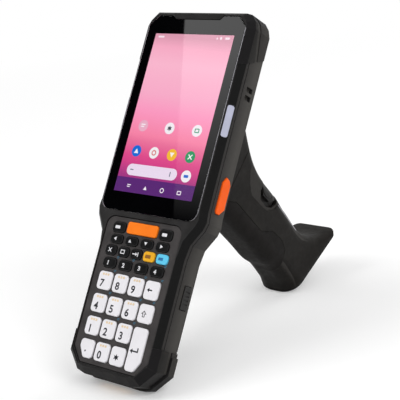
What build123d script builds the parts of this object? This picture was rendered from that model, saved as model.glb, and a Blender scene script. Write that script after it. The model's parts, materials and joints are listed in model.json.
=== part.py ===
"""Rugged handheld data terminal with a display, a keypad and a pistol grip.

Every piece is modelled with the terminal lying on its back: X to its right, Y towards its
top end, Z out of the screen, origin at the centre of the display. The last section stands
the finished device on the table, on its lower end and on the heel of its grip, with +Z up
and the origin at the middle of its footprint. Lengths are in millimetres.
"""

from build123d import *
from collections import namedtuple
from math import atan2, cos, degrees, radians, sin
import os

os.makedirs("parts", exist_ok=True)

# ---------------------------------------------------------------- driving dimensions
# clearances
fit = 0.3                     # round a piece that moves or drops into a pocket
glass_fit = 0.15              # round the glass in its pocket
pin_fit = 0.05                # radial, between the trigger and its pin

# terminal, seen from the front
head_half = 38.1              # half the width of the head
head_end = 59.8               # top end, cut square across the sloping rim
crown_end = 61.5              # where the rim's slope would begin
keypad_half = 30.6            # half the width of the keypad section
lower_end = -147.8            # lower end
crown_corner = ((6.3, 0.0), (1.8, 5.1), (0.0, 9.7))      # in from the side, down from the end
hip_y = (-51.5, -56.2, -60.7)                            # the head swells before its shoulder
hip_swell = (0.0, 0.6, -0.7)
shoulder_y = (-69.5, -78.0)
shoulder_swell = 1.3                                     # over keypad_half, at the shoulder's foot
lower_corner = ((0.0, 10.2), (8.2, 1.4), (14.1, 0.0))    # in from the side, up from the end

# terminal, seen from the side
rim_face = 0.6                # front of the rim round glass and keypad
side_top_z = -2.9             # where the straight side walls begin
side_foot_z = -16.6           # where they end
parting_z = -16.1             # between front and rear housing
side_groove_z = -5.0          # shadow line round the sides of the front housing
side_groove = (0.7, 0.45)     # its width and depth
back_face = -25.2
front_slope_w = 3.3
back_slope_w = 7.5
wall = 2.4
plate_under_z = -2.6          # underside of the front housing's plate

# glass and display
glass_half = 34.0
glass_end = 57.6
glass_foot = -57.6
glass_face = 0.9
glass_thickness = 1.1
glass_crown_cut = 5.6
glass_foot_round = 6.0
panel_half = 30.3
panel_end = 50.0
panel_foot = -52.0
panel_thickness = 3.0

# keypad bezel, key mat and board
bezel_half = 26.5
bezel_end = -61.0
bezel_foot = -142.6
bezel_face = 0.0
bezel_thickness = 1.2
bezel_round = 5.0
bezel_cut = (6.7, 7.8)        # lower corners: across, up
bezel_groove = 0.5            # dark gap between the bezel and the housing
bezel_seat = 1.2              # width of the ledge that carries the bezel
mat_thickness = 0.8
mat_inset = 0.9
board_face = -4.6
board_thickness = 1.2
board_head_half = 30.0
board_end = 50.0
rail_width = 1.2

# keys
key_proud = 0.8               # above the bezel
scan_key_proud = 1.1
key_travel = 0.8
key_gap = 0.25                # between a key and its hole in the bezel
key_flange = 0.4
key_flange_thickness = 0.6
key_crown = 0.55              # rounding of a key's top edge
key_dome_gap = 0.2            # between the flange and the mat with the key pressed
digit_pitch_x = 11.3
digit_pitch_y = 12.65
digit_y = -97.1               # top row of the large keys
digit_size = (9.9, 10.2)
digit_round = 2.1
key_cut = (3.6, 5.8)          # cut corner of the point key and of enter
enter_drop = 0.8              # enter reaches this far below the last row
function_y = -86.95
function_size = (9.4, 5.5)
mode_y = -79.85
mode_pitch = 9.2
mode_size = (8.0, 5.5)
arrow_y = -73.4
arrow_pitch = 10.9
arrow_size = (9.0, 4.9)
menu_x = 16.7
menu_y = -66.8
menu_size = (9.2, 5.8)
small_round = 1.9
scan_key_y = -66.1
scan_key_size = (21.4, 6.6)
scan_key_round = 1.4

# side keys, latches, light bars, strap anchor
side_key_y = -39.5
side_key_z = -11.5
side_key_size = (20.4, 7.0)   # along Y, along Z
side_key_taper = 3.4
side_key_proud = 0.8
side_flange = 0.9
side_flange_thickness = 0.8
latch_y = -96.7
latch_z = -11.7
latch_size = (12.6, 5.6)
latch_proud = 0.5
latch_round = 0.3
bar_y = -0.8
bar_size = (17.6, 3.8)
bar_round = 1.3
bar_depth = 1.4
bar_proud = 0.15
anchor_y = 17.6
anchor_z = -11.0
anchor_size = (7.4, 5.4)
anchor_depth = 2.0
anchor_bar = 1.7
anchor_pad = 2.4              # extra wall behind the anchor's pocket

# bumpers
bumper_rebate = 1.2           # how deep a bumper sits in the housings
crown_proud = 0.4
crown_foot = ((31.5, -1.0), (40.5, -20.0))   # line from front to back where the top bumper begins
crown_groove = 0.9            # depth of the slanting groove in its sides
crown_groove_line = ((60.0, -5.4), (50.0, -5.4), (34.0, -9.6), (34.0, -11.6), (50.0, -8.2),
                     (60.0, -8.2))
crown_groove_x = 20.0         # how near to the middle the groove may reach
lip_half = (15.6, 17.6)       # its raised lip, at its edge on the glass and at its root
lip_y = 55.5
lip_end = 58.7
lip_proud = 0.4
tail_proud = 0.7
tail_end_y = -126.0           # where the lower bumper begins
heel_proud = 1.7              # its rear layer stands out further
heel_end_y = -128.4
bumper_rim = 0.6              # bare rim left beside glass and bezel
bumper_back_band = 8.0        # width of a bumper's band on the back
slot_y = (-147.4, -125.6)     # dark slot in each lower corner, before the rear layer
slot_x = 22.5
slot_z = -10.6
slot_width = 2.6

# battery
battery_end = -74.0
battery_foot = -125.0
bay_floor = 1.5
bay_half = 24.0
battery_rib = (1.6, 0.5)      # finger ribs on its back: width, height
battery_ribs = 4

# scanner, camera, contacts
window_size = (29.6, 12.6)
window_thickness = 1.4
window_seat = 1.5
window_z = -12.5
engine_size = (26.0, 19.0, 12.0)
engine_lens_r = 4.0
camera_y = 36.0
camera_r = 4.85
camera_thickness = 1.0
camera_hole_r = 3.5
contact_half = 10.6
contact_z = -10.5
contact_height = 5.4
contact_count = 5
contact_pin = (1.4, 3.0)

# screws that hold the housings together
screw_r = 1.0
boss_r = 1.9
screw_head_r = 1.9
screw_head_height = 1.5
screw_seat_z = -19.0
screw_places = ((33.0, 45.0), (33.0, -53.8), (26.7, -133.0))
screw_bite = 6.0              # how far a screw runs into the front housing

# pistol grip: its axis leaves the back at grip_y and leans back by grip_lean
grip_y = -14.0
grip_lean = 17.0
neck_s = 26.0                 # down the axis, where the bracket ends and the grip begins
grip_wall = 2.2
grip_half = 14.0              # half the width of the handle, where its sides are flat
Section = namedtuple("Section", "at rear front half_rear half_front round_rear round_front")
# cross-sections square to the axis; at = distance down the axis from the back of the terminal
grip_sections = (
    Section(-10.0, -30.0, 40.0, 21.0, 21.0, 10.0, 10.0),
    Section(8.0, -25.5, 35.0, 17.0, 17.0, 10.0, 10.0),
    Section(20.0, -22.0, 30.6, 15.0, 15.0, 9.5, 9.5),
    Section(30.0, -19.8, 25.6, 14.2, 14.2, 9.0, 9.0),
    Section(40.0, -18.8, 21.6, grip_half, grip_half, 9.0, 9.0),
    Section(60.0, -18.5, 19.2, grip_half, grip_half, 9.0, 9.0),
    Section(85.0, -18.5, 17.4, grip_half, grip_half, 9.0, 9.0),
    Section(98.0, -17.7, 16.6, 13.9, 13.9, 9.0, 9.0),
)
neck_gap = 0.5                # width of the shadow line between bracket and grip
neck_inset = 0.6              # its depth
neck_section = Section(neck_s, -20.6, 27.4, 14.5, 14.5, 9.2, 9.2)
# foot: cross-sections square to its sole; at = height over the table side of the sole
foot_tilt = 30.0              # sole against the terminal's plane
heel_y = -71.2
heel_z = -142.8
foot_sections = (
    Section(22.0, -1.7, 32.8, 13.8, 13.8, 9.0, 8.5),
    Section(15.0, -0.7, 36.8, 14.0, 14.2, 9.5, 8.0),
    Section(9.0, -0.2, 42.8, 14.2, 15.2, 10.5, 7.5),
    Section(5.2, -0.5, 49.5, 14.3, 16.4, 11.2, 7.0),
    Section(2.0, -0.8, 57.0, 14.3, 17.3, 11.5, 6.5),
)
pad_thickness = 2.0
pad_inset = 0.5
pad_grooves = 5
pad_groove = (1.2, 0.6)       # width, depth
bracket_half = 24.0
bracket_y = (-48.0, 24.0)
bracket_thickness = 3.0
bracket_round = 6.0

# over-mould, as (distance down the axis, forward of the axis)
overmould_depth = 1.5
overmould_groove = (0.35, 0.5)                           # width, depth, round its edge
overmould_line = ((28.5, -13.4), (36.8, -9.0), (70.8, -8.9), (80.4, -2.6), (93.0, -1.8),
                  (99.8, -4.4), (102.5, -9.0), (107.5, -17.0), (107.5, -30.0), (28.5, -30.0))

# trigger, in the same measure
trigger_half = 11.4
trigger_pin_at = (40.0, 11.5)
trigger_pin_r = 1.5
trigger_pin_half = 13.1
trigger_boss_r = 4.0
trigger_top = 36.0
trigger_foot = 72.0
trigger_rear = 9.5
throat_gap = 0.6              # above the trigger
trigger_sink = 0.4            # below the grip's surface
trigger_foot_gap = 1.0        # below it
trigger_groove = (0.7, 0.45)  # width, depth, in the sides of the trigger
trigger_groove_at = (60.5, 17.5)                         # middle of the curved grooves
trigger_groove_radii = (3.2, 5.4, 7.6)
ear_line = ((54.8, 60.0), (54.8, 13.0), (57.5, 9.0), (66.0, 9.4), (70.0, 13.0), (72.0, 16.5),
            (72.0, 60.0))
cut_out_line = ((54.0, 60.0), (54.0, 10.0), (57.5, 5.8), (65.0, 5.4), (70.5, 8.2), (73.0, 12.0),
                (73.0, 60.0))
band_line = ((36.0, 13.0), (41.0, 7.0), (46.9, 2.6), (59.0, 3.0), (67.5, 4.1), (73.6, 9.0),
             (74.8, 12.5), (74.8, 60.0), (36.0, 60.0))
band_depth = 0.8
spring_s = 59.0
spring_r = 3.0
spring_wire_r = 0.4
spring_turns = 5
spring_seat_q = -3.6
spring_rib = 2.0

# grip screws, along X from the left
grip_screw_places = ((33.0, -5.5), (80.0, 2.6), (103.0, 2.6))
grip_screw_r = 1.25
grip_screw_head_r = 2.3
grip_screw_head = 1.8
grip_screw_sink = 0.6
grip_screw_reach = 8.0
grip_boss_r = 3.2

# ---------------------------------------------------------------- derived places
front_slope_h = rim_face - side_top_z
back_slope_h = side_foot_z - back_face
glass_back = glass_face - glass_thickness
bezel_back = bezel_face - bezel_thickness
key_flange_top = bezel_back - fit
key_foot_z = key_flange_top - key_flange_thickness
mat_face = board_face + mat_thickness
dome_top = key_foot_z - key_travel - key_dome_gap
board_back = board_face - board_thickness
room_back = back_face + wall
everywhere = 400.0            # larger than the whole device


def grip_plane(distance):
    """Return the plane square to the grip's axis: x to the right, y forward."""
    lean = radians(grip_lean)
    origin = (0, grip_y - distance * sin(lean), back_face - distance * cos(lean))
    return Plane(origin=origin, x_dir=(1, 0, 0), z_dir=(0, sin(lean), cos(lean)))


def foot_plane(height):
    """Return the plane along the sole at a height over it: x to the right, y to the toe."""
    tilt = radians(foot_tilt)
    origin = (0, heel_y + height * sin(tilt), heel_z + height * cos(tilt))
    return Plane(origin=origin, x_dir=(1, 0, 0), z_dir=(0, sin(tilt), cos(tilt)))


def grip_point(distance, forward, across=0.0):
    """Return the point at a distance down the grip's axis and forward of it."""
    lean = radians(grip_lean)
    y = grip_y - distance * sin(lean) + forward * cos(lean)
    z = back_face - distance * cos(lean) - forward * sin(lean)
    return Vector(across, y, z)


# side view of the grip: x forward of the axis, y up along it, normal to the right
grip_side = Plane(
    origin=(0, grip_y, back_face),
    x_dir=(0, cos(radians(grip_lean)), -sin(radians(grip_lean))),
    z_dir=(1, 0, 0),
)


def side_points(line):
    """Turn (distance, forward) pairs into points of the grip's side view."""
    return [(forward, -distance) for distance, forward in line]


# ---------------------------------------------------------------- shared shapes
def both_sides(right_side):
    """Complete the points of a right-hand outline with their mirror images."""
    return [(-x, y) for x, y in right_side] + right_side[::-1]


def outline_corners(grow=0.0):
    """Return the corners of the terminal seen from the front, grown all round by grow."""
    right_side = [(head_half - across, crown_end - down) for across, down in crown_corner]
    right_side += [(head_half + swell, y) for swell, y in zip(hip_swell, hip_y)]
    right_side += [(keypad_half + shoulder_swell, shoulder_y[0]), (keypad_half, shoulder_y[1])]
    right_side += [(keypad_half - across, lower_end + up) for across, up in lower_corner]
    corners = [Vector(x, y) for x, y in both_sides(right_side)]
    grown = []
    for before, corner, after in zip(corners[-1:] + corners, corners, corners[1:] + corners[:1]):
        side_in = (corner - before).normalized()
        side_out = (after - corner).normalized()
        normal_in = Vector(side_in.Y, -side_in.X)
        normal_out = Vector(side_out.Y, -side_out.X)
        shift = (normal_in + normal_out) * (grow / (1 + normal_in.dot(normal_out)))
        grown.append((corner.X + shift.X, corner.Y + shift.Y))
    return grown


def prismoid(foot, foot_z, top, top_z):
    """Return the solid between two outlines with the same number of corners."""
    foot_ring = [(x, y, foot_z) for x, y in foot]
    top_ring = [(x, y, top_z) for x, y in top]
    next_foot = foot_ring[1:] + foot_ring[:1]
    next_top = top_ring[1:] + top_ring[:1]
    rings = [foot_ring, top_ring]
    rings += [list(corners) for corners in zip(foot_ring, next_foot, next_top, top_ring)]
    return Solid(Shell([Face(Wire.make_polygon(ring, close=True)) for ring in rings]))


def terminal_form(grow=0.0):
    """Return the terminal's outer form, grown by grow: sloping rim, straight sides, sloping
    back."""
    front_rise = front_slope_h + grow
    back_drop = back_slope_h + grow
    widest = outline_corners(grow)
    front_edge = outline_corners(grow - front_rise * front_slope_w / front_slope_h)
    back_edge = outline_corners(grow - back_drop * back_slope_w / back_slope_h)
    with BuildPart() as form:
        add(prismoid(widest, side_foot_z, widest, side_top_z))
        add(prismoid(widest, side_top_z, front_edge, side_top_z + front_rise))
        add(prismoid(back_edge, side_foot_z - back_drop, widest, side_foot_z))
        split(bisect_by=Plane.XZ.offset(-head_end - grow), keep=Keep.TOP)
    return form.part


def room():
    """Return the space inside the housings."""
    with BuildPart() as space:
        add(terminal_form(-wall))
        split(bisect_by=Plane.XY.offset(plate_under_z), keep=Keep.BOTTOM)
    return space.part


def glass_outline(grow=0.0):
    """Draw the glass: cut upper corners, round lower ones and a notch for the bumper's lip."""
    with BuildSketch() as outline:
        with BuildLine():
            Polyline(
                *both_sides([
                    (lip_half[0], lip_y),
                    (lip_half[1], glass_end),
                    (glass_half - glass_crown_cut, glass_end),
                    (glass_half, glass_end - glass_crown_cut),
                    (glass_half, glass_foot),
                ]),
                close=True,
            )
        make_face()
        fillet(outline.vertices().group_by(Axis.Y)[0], glass_foot_round)
        if grow:
            offset(amount=grow, kind=Kind.INTERSECTION)
    add(outline.sketch)


def bezel_outline(grow=0.0):
    """Draw the keypad bezel: round upper corners and cut lower ones."""
    with BuildSketch() as outline:
        with BuildLine():
            Polyline(
                *both_sides([
                    (bezel_half, bezel_end),
                    (bezel_half, bezel_foot + bezel_cut[1]),
                    (bezel_half - bezel_cut[0], bezel_foot),
                ]),
                close=True,
            )
        make_face()
        fillet(outline.vertices().group_by(Axis.Y)[-1], bezel_round)
        if grow:
            offset(amount=grow, kind=Kind.INTERSECTION)
    add(outline.sketch)


def slab(outline, bottom, top, grow=0.0):
    """Return an outline extruded from one height to another."""
    with BuildPart() as block:
        with BuildSketch(Plane.XY.offset(bottom)):
            outline(grow)
        extrude(amount=top - bottom)
    return block.part


def block(x, y, z):
    """Return the box between the given pairs of x, y and z."""
    size = [high - low for low, high in (x, y, z)]
    with BuildPart(Plane((min(x), min(y), min(z)))) as solid:
        Box(*size, align=(Align.MIN, Align.MIN, Align.MIN))
    return solid.part


# ---------------------------------------------------------------- keys
Key = namedtuple("Key", "x y width height corner proud cut")
keys = {}
digit_names = (
    ("key_7", "key_8", "key_9", "key_back"),
    ("key_4", "key_5", "key_6", "key_shift"),
    ("key_1", "key_2", "key_3"),
    ("key_point", "key_0", "key_star"),
)
for row, names in enumerate(digit_names):
    for column, name in enumerate(names):
        x = (column - 1.5) * digit_pitch_x
        y = digit_y - row * digit_pitch_y
        cut_side = -1 if name == "key_point" else 0
        keys[name] = Key(x, y, *digit_size, digit_round, key_proud, cut_side)
enter_top = digit_y - 2 * digit_pitch_y + digit_size[1] / 2
enter_foot = digit_y - 3 * digit_pitch_y - digit_size[1] / 2 - enter_drop
keys["key_enter"] = Key(
    1.5 * digit_pitch_x, (enter_top + enter_foot) / 2, digit_size[0], enter_top - enter_foot,
    digit_round, key_proud, 1,
)
for column in range(4):
    x = (column - 1.5) * digit_pitch_x
    keys[f"key_f{column + 1}"] = Key(x, function_y, *function_size, small_round, key_proud, 0)
for column, name in enumerate(("key_escape", "key_mode", "key_tab", "key_yellow", "key_blue")):
    keys[name] = Key((column - 2) * mode_pitch, mode_y, *mode_size, small_round, key_proud, 0)
for column, name in enumerate(("key_left", "key_up", "key_down", "key_right")):
    x = (column - 1.5) * arrow_pitch
    keys[name] = Key(x, arrow_y, *arrow_size, small_round, key_proud, 0)
keys["key_menu"] = Key(-menu_x, menu_y, *menu_size, small_round, key_proud, 0)
keys["key_power"] = Key(menu_x, menu_y, *menu_size, small_round, key_proud, 0)
keys["key_scan"] = Key(0, scan_key_y, *scan_key_size, scan_key_round, scan_key_proud, 0)


def key_face(key, grow=0.0):
    """Draw one key seen from the front, grown all round by grow."""
    half_w = key.width / 2
    half_h = key.height / 2
    side = key.cut or 1
    cut_w, cut_h = key_cut if key.cut else (0, 0)
    points = [(-side * half_w, half_h), (-side * half_w, -half_h), (side * (half_w - cut_w), -half_h)]
    if key.cut:
        points.append((side * half_w, -half_h + cut_h))
    points.append((side * half_w, half_h))
    with BuildSketch(Location((key.x, key.y))) as face:
        with BuildLine():
            Polyline(*points, close=True)
        make_face()
        fillet(face.vertices(), key.corner)
        if grow:
            offset(amount=grow)
    return face.sketch


def key_solid(key):
    """Return one key: cap, and a flange on both sides that holds it under the bezel."""
    with BuildPart() as cap:
        with BuildSketch(Plane.XY.offset(key_foot_z)):
            add(key_face(key))
        extrude(amount=bezel_face + key.proud - key_foot_z)
        fillet(cap.faces().sort_by(Axis.Z)[-1].edges(), key_crown)
        with BuildSketch(Plane.XY.offset(key_foot_z)):
            with Locations((key.x, key.y + (key_cut[1] / 2 if key.cut else 0))):
                cut_height = key_cut[1] if key.cut else 0
                Rectangle(key.width + 2 * key_flange, key.height - 2 * key.corner - cut_height)
        extrude(amount=key_flange_thickness)
    return cap.part


# ---------------------------------------------------------------- grip forms
def section_face(plane, section, inset=0.0):
    """Return one rounded cross-section on its plane, drawn in all round by inset."""
    rear = section.rear + inset
    front = section.front - inset
    half_rear = section.half_rear - inset
    half_front = section.half_front - inset
    with BuildSketch(plane) as face:
        with BuildLine():
            Polyline(
                (-half_rear, rear), (half_rear, rear), (half_front, front), (-half_front, front),
                close=True,
            )
        make_face()
        fillet(face.vertices().group_by(Axis.Y)[0], section.round_rear - inset)
        fillet(face.vertices().group_by(Axis.Y)[-1], section.round_front - inset)
    return face.sketch


def grip_form(inset=0.0, foot=1):
    """Return the solid of neck, handle and part of the foot, drawn in by inset.

    foot is the number of foot sections it runs through.
    """
    faces = [section_face(grip_plane(section.at), section, inset) for section in grip_sections]
    faces += [section_face(foot_plane(section.at), section, inset)
              for section in foot_sections[:foot]]
    with BuildPart() as form:
        loft(sections=faces)
    return form.part


def side_prism(line, half, inner=0.0, grow=0.0):
    """Return a side-view outline, grown by grow, extruded across the grip.

    With inner it stands only beyond that distance from the middle, on each side.
    """
    with BuildPart() as prism:
        with BuildSketch(grip_side.offset(inner)):
            with BuildLine():
                Polyline(*side_points(line), close=True)
            make_face()
            if grow:
                offset(amount=grow, kind=Kind.INTERSECTION)
        extrude(amount=half - inner)
        mirror(about=Plane.YZ)
    return prism.part


terminal_body = terminal_form()
terminal_core = terminal_form(-bumper_rebate)
grip_body = grip_form(0.0, len(foot_sections))
boss_places = [(side * x, y) for x, y in screw_places for side in (-1, 1)]

# ---------------------------------------------------------------- housing screws
with BuildPart() as screw_wells:
    with BuildSketch(Plane.XY.offset(screw_seat_z)):
        with Locations(*boss_places):
            Circle(screw_head_r + fit)
    extrude(amount=back_face - heel_proud - screw_seat_z)

with BuildPart() as housing_screws:
    with BuildSketch(Plane.XY.offset(screw_seat_z - screw_head_height)):
        with Locations(*boss_places):
            Circle(screw_head_r)
    extrude(amount=screw_head_height)
    with BuildSketch(Plane.XY.offset(screw_seat_z)):
        with Locations(*boss_places):
            Circle(screw_r)
    extrude(amount=parting_z + screw_bite - 0.5 - screw_seat_z)
    with BuildSketch(Plane.XY.offset(screw_seat_z - screw_head_height)):
        with Locations(*boss_places):
            RegularPolygon(0.9, 6)
    extrude(amount=0.8, mode=Mode.SUBTRACT)

# ---------------------------------------------------------------- bumpers
(foot_front_y, foot_front_z), (foot_back_y, foot_back_z) = crown_foot
crown_foot_plane = Plane(
    origin=(0, foot_front_y, foot_front_z),
    x_dir=(1, 0, 0),
    z_dir=(0, foot_front_z - foot_back_z, foot_back_y - foot_front_y),
)
with BuildPart() as crown_groove_cut:
    with BuildSketch(Plane.YZ.offset(crown_groove_x)):
        with BuildLine():
            Polyline(*crown_groove_line, close=True)
        make_face()
    extrude(amount=head_half)
    mirror(about=Plane.YZ)
    add(terminal_form(crown_proud - crown_groove), mode=Mode.SUBTRACT)

with BuildPart() as top_bumper:
    add(terminal_form(crown_proud))
    add(terminal_core, mode=Mode.SUBTRACT)
    split(bisect_by=crown_foot_plane, keep=Keep.TOP)
    add(slab(glass_outline, plate_under_z, everywhere, bumper_rim), mode=Mode.SUBTRACT)
    back_x = head_half - bumper_back_band
    back_y = head_end - bumper_back_band
    add(block((-back_x, back_x), (0, back_y), (-everywhere, side_foot_z)), mode=Mode.SUBTRACT)
    window_x = window_size[0] / 2 + 2 * fit
    window_zs = [window_z + side * (window_size[1] / 2 + 2 * fit) for side in (-1, 1)]
    add(block((-window_x, window_x), (0, everywhere), window_zs), mode=Mode.SUBTRACT)
    with BuildSketch(Plane.XY.offset(glass_back)):
        with BuildLine():
            Polyline(
                *both_sides([
                    (lip_half[0], lip_y + glass_fit),
                    (lip_half[1], glass_end + glass_fit),
                    (lip_half[1], lip_end),
                ]),
                close=True,
            )
        make_face()
    extrude(amount=glass_face + lip_proud - glass_back)
    add(crown_groove_cut.part, mode=Mode.SUBTRACT)
    add(screw_wells.part, mode=Mode.SUBTRACT)
    add(housing_screws.part, mode=Mode.SUBTRACT)

with BuildPart() as rear_layer:
    add(terminal_form(heel_proud))
    split(bisect_by=Plane.XY.offset(slot_z - slot_width / 2), keep=Keep.BOTTOM)
    split(bisect_by=Plane.XZ.offset(-heel_end_y), keep=Keep.TOP)

with BuildPart() as bottom_bumper:
    add(terminal_form(tail_proud))
    add(rear_layer.part)
    add(terminal_core, mode=Mode.SUBTRACT)
    split(bisect_by=Plane.XZ.offset(-tail_end_y), keep=Keep.TOP)
    add(slab(bezel_outline, plate_under_z, everywhere, bezel_groove + bumper_rim), mode=Mode.SUBTRACT)
    tail_x = keypad_half - bumper_back_band
    tail_y = lower_end + bumper_back_band
    add(block((-tail_x, tail_x), (tail_y, 0), (-everywhere, side_foot_z)), mode=Mode.SUBTRACT)
    slot_zs = [slot_z - slot_width / 2, slot_z + slot_width / 2]
    for side in (-1, 1):
        slot_xs = sorted((side * slot_x, side * everywhere))
        add(block(slot_xs, slot_y, slot_zs), mode=Mode.SUBTRACT)
    contact_zs = [contact_z + side * (contact_height / 2 + fit) for side in (-1, 1)]
    contact_x = contact_half + fit
    add(block((-contact_x, contact_x), (-everywhere, 0), contact_zs), mode=Mode.SUBTRACT)
    add(screw_wells.part, mode=Mode.SUBTRACT)
    add(housing_screws.part, mode=Mode.SUBTRACT)


# ---------------------------------------------------------------- side pieces
def side_key_face(grow=0.0):
    """Draw the side scan key: a bar with both ends cut to a taper, at its place on the side."""
    half_l = side_key_size[0] / 2
    half_h = side_key_size[1] / 2
    with BuildSketch(Location((side_key_y, side_key_z))) as face:
        with BuildLine():
            Polyline(
                (-half_l, half_h - 1), (-half_l + 1, half_h), (half_l - side_key_taper, half_h),
                (half_l, 1), (half_l - 1, -half_h + side_key_taper / 2),
                (half_l - side_key_taper, -half_h), (-half_l + side_key_taper, -half_h),
                (-half_l, -half_h + side_key_taper), close=True,
            )
        make_face()
        if grow:
            offset(amount=grow, kind=Kind.INTERSECTION)
    return face.sketch


with BuildPart() as scan_key_right:
    side_key_root = head_half - wall - fit - side_flange_thickness
    with BuildSketch(Plane.YZ.offset(side_key_root)):
        add(side_key_face())
    extrude(amount=head_half + side_key_proud - side_key_root)
    fillet(scan_key_right.faces().sort_by(Axis.X)[-1].edges(), key_crown)
    with BuildSketch(Plane.YZ.offset(side_key_root)):
        add(side_key_face(side_flange))
    extrude(amount=side_flange_thickness)

with BuildPart() as scan_key_left:
    mirror(scan_key_right.part, about=Plane.YZ)


def latch_face(grow=0.0):
    """Draw the battery latch at its place on the side wall."""
    with BuildSketch(Location((latch_y, latch_z))) as face:
        RectangleRounded(latch_size[0] + 2 * grow, latch_size[1] + 2 * grow, latch_round + grow)
    return face.sketch


with BuildPart() as battery_latch_right:
    latch_root = keypad_half - wall - fit - side_flange_thickness
    with BuildSketch(Plane.YZ.offset(latch_root)):
        add(latch_face())
    extrude(amount=keypad_half + latch_proud - latch_root)
    with BuildSketch(Plane.YZ.offset(latch_root)):
        with Locations((latch_y, latch_z)):
            Rectangle(latch_size[0] + 2 * side_flange, latch_size[1] - 2 * latch_round)
    extrude(amount=side_flange_thickness)
    groove_face = Plane.YZ.offset(keypad_half + latch_proud)
    with BuildSketch(groove_face):
        with Locations((latch_y, latch_z)):
            with GridLocations(2.2, 0, 4, 1):
                Rectangle(0.8, latch_size[1] - 1.6)
    extrude(amount=-0.4, mode=Mode.SUBTRACT)

with BuildPart() as battery_latch_left:
    mirror(battery_latch_right.part, about=Plane.YZ)

# light bars, let into the sloping rim on both sides
bar_normal = (front_slope_h, 0, front_slope_w)
bar_plane = Plane(
    origin=(head_half - front_slope_w / 2, bar_y, rim_face - front_slope_h / 2),
    x_dir=(0, 1, 0),
    z_dir=bar_normal,
)
with BuildPart() as light_bars:
    with BuildSketch(bar_plane.offset(-bar_depth)):
        RectangleRounded(*bar_size, bar_round)
    extrude(amount=bar_depth + bar_proud)
    mirror(about=Plane.YZ)

# ---------------------------------------------------------------- glass, display, board
with BuildPart() as touch_glass:
    add(slab(glass_outline, glass_back, glass_face))

with BuildPart() as display_panel:
    add(block((-panel_half, panel_half), (panel_foot, panel_end),
              (glass_back - panel_thickness, glass_back)))

with BuildPart() as keypad_bezel:
    add(slab(bezel_outline, bezel_back, bezel_face))
    with BuildSketch(Plane.XY.offset(bezel_back)):
        for key in keys.values():
            add(key_face(key, key_gap))
    extrude(amount=bezel_thickness, mode=Mode.SUBTRACT)

with BuildPart() as key_mat:
    add(slab(bezel_outline, board_face, mat_face, -mat_inset))
    with BuildSketch(Plane.XY.offset(mat_face)):
        for key in keys.values():
            with Locations((key.x, key.y)):
                Circle(0.3 * min(key.width, key.height))
    extrude(amount=dome_top - mat_face)
    with BuildSketch(Plane.XY.offset(board_face)):
        with Locations(*boss_places):
            Circle(boss_r + fit)
    extrude(amount=mat_thickness, mode=Mode.SUBTRACT)

with BuildPart() as main_board:
    add(slab(bezel_outline, board_back, board_face, -mat_inset + rail_width))
    with BuildSketch(Plane.XY.offset(board_back)):
        with Locations((0, (board_end + bezel_end) / 2)):
            Rectangle(2 * board_head_half, board_end - bezel_end + 2 * bezel_round)
    extrude(amount=board_thickness)
    with BuildSketch(Plane.XY.offset(board_back)):
        with Locations(*boss_places):
            Circle(boss_r + fit)
    extrude(amount=board_thickness, mode=Mode.SUBTRACT)
    with BuildSketch(Plane.XY.offset(board_back)):
        with Locations((-14, 20), (14, -20), (0, -95)):
            Rectangle(14, 14)
        with Locations((15, 18), (-13, -24)):
            Rectangle(9, 11)
    extrude(amount=-1.6)

# ---------------------------------------------------------------- scanner, camera, contacts
with BuildPart() as scan_window:
    window_plane = Plane.XZ.offset(-(head_end - 0.2))
    with BuildSketch(window_plane):
        with Locations((0, window_z)):
            RectangleRounded(window_size[0], window_size[1], 1.2)
    extrude(amount=window_thickness)

engine_front = head_end - wall - fit
with BuildPart() as scan_engine:
    engine_zs = (window_z - engine_size[2] / 2, window_z + engine_size[2] / 2 - 2)
    engine_ys = (engine_front - 1.5 - engine_size[1], engine_front - 1.5)
    add(block((-engine_size[0] / 2, engine_size[0] / 2), engine_ys, engine_zs))
    for side in (-1, 1):
        foot_xs = sorted((side * (engine_size[0] / 2 - 4), side * (engine_size[0] / 2)))
        foot_ys = (engine_ys[0], engine_ys[1] - 6)
        add(block(foot_xs, foot_ys, (room_back, engine_zs[0])))
    with BuildSketch(Plane.XZ.offset(-engine_ys[1])):
        with Locations((-5, window_z - 1), (6, window_z - 1)):
            Circle(engine_lens_r)
    extrude(amount=-1.5)

with BuildPart() as camera_lens:
    with BuildSketch(Plane.XY.offset(back_face + 0.1)):
        with Locations((0, camera_y)):
            Circle(camera_r)
    extrude(amount=camera_thickness + 0.1)

with BuildPart() as dock_contacts:
    contact_root = lower_end + bumper_rebate
    contact_ys = (contact_root - bumper_rebate - 0.2, contact_root)
    contact_zs = (contact_z - contact_height / 2, contact_z + contact_height / 2)
    add(block((-contact_half, contact_half), contact_ys, contact_zs))
    with BuildSketch(Plane.XZ.offset(-contact_ys[0])):
        with Locations((0, contact_z)):
            with GridLocations(3.6, 0, contact_count, 1):
                Rectangle(*contact_pin)
    extrude(amount=0.3)

# ---------------------------------------------------------------- housings


def anchor_cut():
    """Return the two strap anchor pockets, each crossed by a bar with room behind it."""
    pocket_x = (head_half - anchor_depth, everywhere)
    pocket_y = (anchor_y - anchor_size[0] / 2, anchor_y + anchor_size[0] / 2)
    pocket_z = (anchor_z - anchor_size[1] / 2, anchor_z + anchor_size[1] / 2)
    bar_y_range = (anchor_y - anchor_bar / 2, anchor_y + anchor_bar / 2)
    with BuildPart() as cut:
        add(block(pocket_x, pocket_y, pocket_z))
        add(block((head_half - 0.9, everywhere), bar_y_range, pocket_z), mode=Mode.SUBTRACT)
        mirror(about=Plane.YZ)
    return cut.part


with BuildPart() as side_groove_cut:
    add(terminal_form(1.0))
    add(terminal_form(-side_groove[1]), mode=Mode.SUBTRACT)
    split(bisect_by=Plane.XY.offset(side_groove_z + side_groove[0] / 2), keep=Keep.BOTTOM)
    split(bisect_by=Plane.XY.offset(side_groove_z - side_groove[0] / 2), keep=Keep.TOP)

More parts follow.
